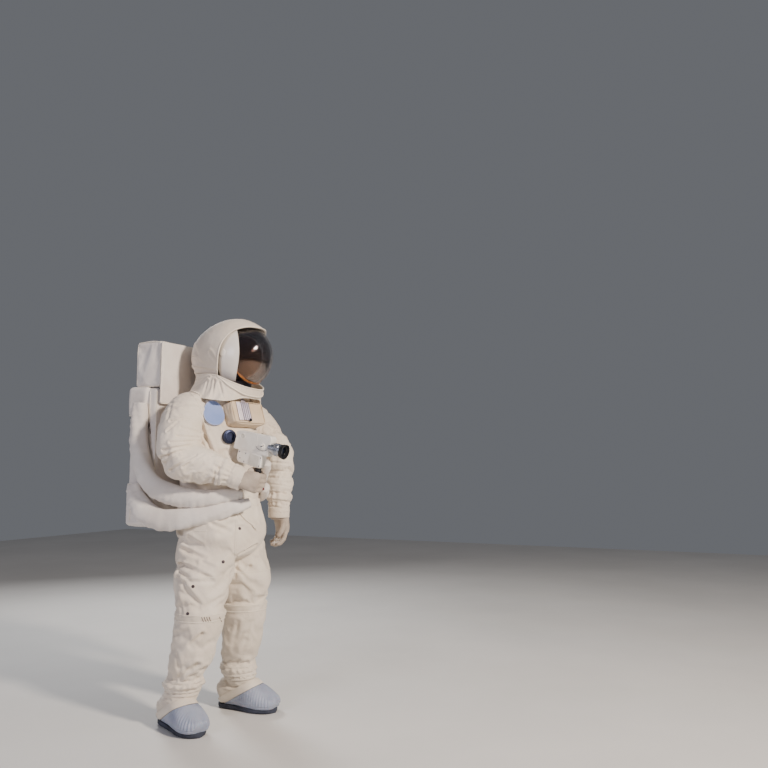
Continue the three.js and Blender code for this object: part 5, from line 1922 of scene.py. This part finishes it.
# Armhole seam on the near shoulder, from the collar to the armpit, and the fold's seam below it
shoulderSurface = surfaceOfAll([torso, sleeves["right"]])
armhole = [(184.3, 387.3), (190, 392.5), (196, 399.5), (200.5, 408), (202.6, 418), (203.2, 428)]
chestFold = [(206, 434), (210.5, 446), (216, 457)]
sewnCord("armhole_seam_right", shoulderSurface, armhole, 1.8)
sewnCord("chest_fold_seam", surfaceOf(torso), chestFold, 1.6)

snapMetal = mottledMaterial(
    "dullOxidisedSnapStud", "#4d4349", "#5a5056", "#3a3237", 90.0, Metallic=0.7, Roughness=0.45
)
snapPlaces = [(223.2, 561.8), (193, 586.5), (187.7, 613.7), (239.6, 528.5)]
snapProfile = [
    (0, -3), (7.5, -3), (7.5, 1.2), (6.6, 2.2), (4.4, 2.4), (3.8, 1.6), (2.6, 1.6), (1.8, 2.6), (0, 2.9),
]
for number, snapPlace in enumerate(snapPlaces):
    found = seen(legSurface, *snapPlace)
    if found:
        spot, way = found[0] * 1000 - shift, towardsCamera(*found)
        snapName = "snap_stud_" + str(number + 1)
        turned(snapName, spot, way, snapProfile, snapMetal, 32, ("suit", "ring_metal"))

# Waist flap: a pointed cloth sewn along its top edge, hanging over the front of the hips
frontSurface = surfaceOfAll([torso, trousers])
flapRows, flapColumns = 34, 46
flapWidth, flapDrop, flapTop = 176.0, 112.0, 1010.0
flapPoints = []
for t in np.linspace(0, 1, flapRows):
    half = flapWidth / 2 * (1 - t**1.5) + 5
    for u in np.linspace(-1, 1, flapColumns):
        x, z = 10 * t + half * u, flapTop - flapDrop * t - 7 * (1 - u * u) * (1 - t)
        start = Vector(((x + shift[0]) / 1000, -0.8, (z + shift[2]) / 1000))
        hit = frontSurface.ray_cast(start, Vector((0, 1, 0)))[0]
        y = hit.y * 1000 - shift[1] if hit else -160
        flapPoints.append([x, y - 3 - 9 * t * (0.6 + 0.4 * math.cos(3.2 * u + 0.6)), z])
flapPoints = np.array(flapPoints).reshape(flapRows, flapColumns, 3)
for _ in range(12):
    depth = flapPoints[..., 1]
    inner = (depth[2:, 1:-1] + depth[:-2, 1:-1] + depth[1:-1, 2:] + depth[1:-1, :-2]) / 4
    depth[1:-1, 1:-1] = np.minimum(depth[1:-1, 1:-1], inner)
flapEdge = np.concatenate([flapPoints[:, 0], flapPoints[-1, 1:], flapPoints[::-1, -1][1:]])
flap = newObject("waist_flap", flapPoints.reshape(-1, 3), sheetFaces(flapRows, flapColumns), suitCloth)
thicken(flap, 0.0025, 0)
finishPiece(flap, *sewnOn)
flapHem = piping("waist_flap_hem", flapEdge, 2.0, pipingCloth)

# Lacing on the pack's near side, and the pack's vertical seams
packSurface = surfaceOfAll([covers["pack_body"], covers["pack_top_cover"], covers["pack_low_cover"]])
zigzag = [(143, 418), (146, 424), (144.5, 428), (147, 424), (147.5, 431), (149.5, 423), (150.5, 434)]
upperSeam = [(150.5, 391), (150, 402), (149.6, 414)]
lowerSeam = [(131.5, 486), (130.2, 505), (129.5, 520)]
sewnCord("pack_lacing", packSurface, zigzag, 2.0, darkCord, packSewn)
sewnCord("pack_side_seam_upper", packSurface, upperSeam, 1.8, belongs=packSewn)
sewnCord("pack_side_seam_lower", packSurface, lowerSeam, 1.8, belongs=packSewn)

# Neck ring: the machined ring under the bubble, in the same anodised finish as the wrist rings. That finish
# is toned dark as painted shade, so the ring reads as the shadow between visor and collar
dress(bpy.data.objects["neck_ring"], shadeDarkRingMetal)
print("details ready", round(time.time() - started, 1))


# Floor and soft studio light
floorReach = 9000
floorCorners = [[x * floorReach, y * floorReach, 0] for x, y in ((-1, -1), (1, -1), (1, 1), (-1, 1))]
floorPaint = mottledMaterial("mattPaintedFloor", "#d2d0cd", "#d6d4d1", "#cdcbc8", 0.7, Roughness=0.9)
newObject("floor", floorCorners, [[0, 1, 2, 3]], floorPaint, smooth=False)

world = bpy.data.worlds.new("softGreyRoom")
scene.world = world
world.use_nodes = True
world.node_tree.nodes["Background"].inputs[0].default_value = linear("#c9cdd6")
world.node_tree.nodes["Background"].inputs[1].default_value = 0.24


# Soft lamp: place and target in metres, size in metres, power in watts
def addLamp(name, place, target, size, power, colour):
    data = bpy.data.lights.new(name, "AREA")
    data.shape = "DISK"
    data.size = size
    data.energy = power
    data.color = linear(colour)[:3]
    lamp = bpy.data.objects.new(name, data)
    scene.collection.objects.link(lamp)
    lamp.location = place
    lamp.rotation_euler = (Vector(target) - Vector(place)).to_track_quat("-Z", "Y").to_euler()


addLamp("keyLamp", (-1.2, -4.8, 3.7), (0, 0, 1.15), 0.6, 430, "#fff1e2")
addLamp("sideLamp", (-4.8, 0.6, 2.4), (0, 0, 1.1), 1.6, 75, "#f0eeff")
addLamp("edgeLamp", (2.6, 3.0, 3.2), (0, 0, 1.2), 1.4, 150, "#ffffff")
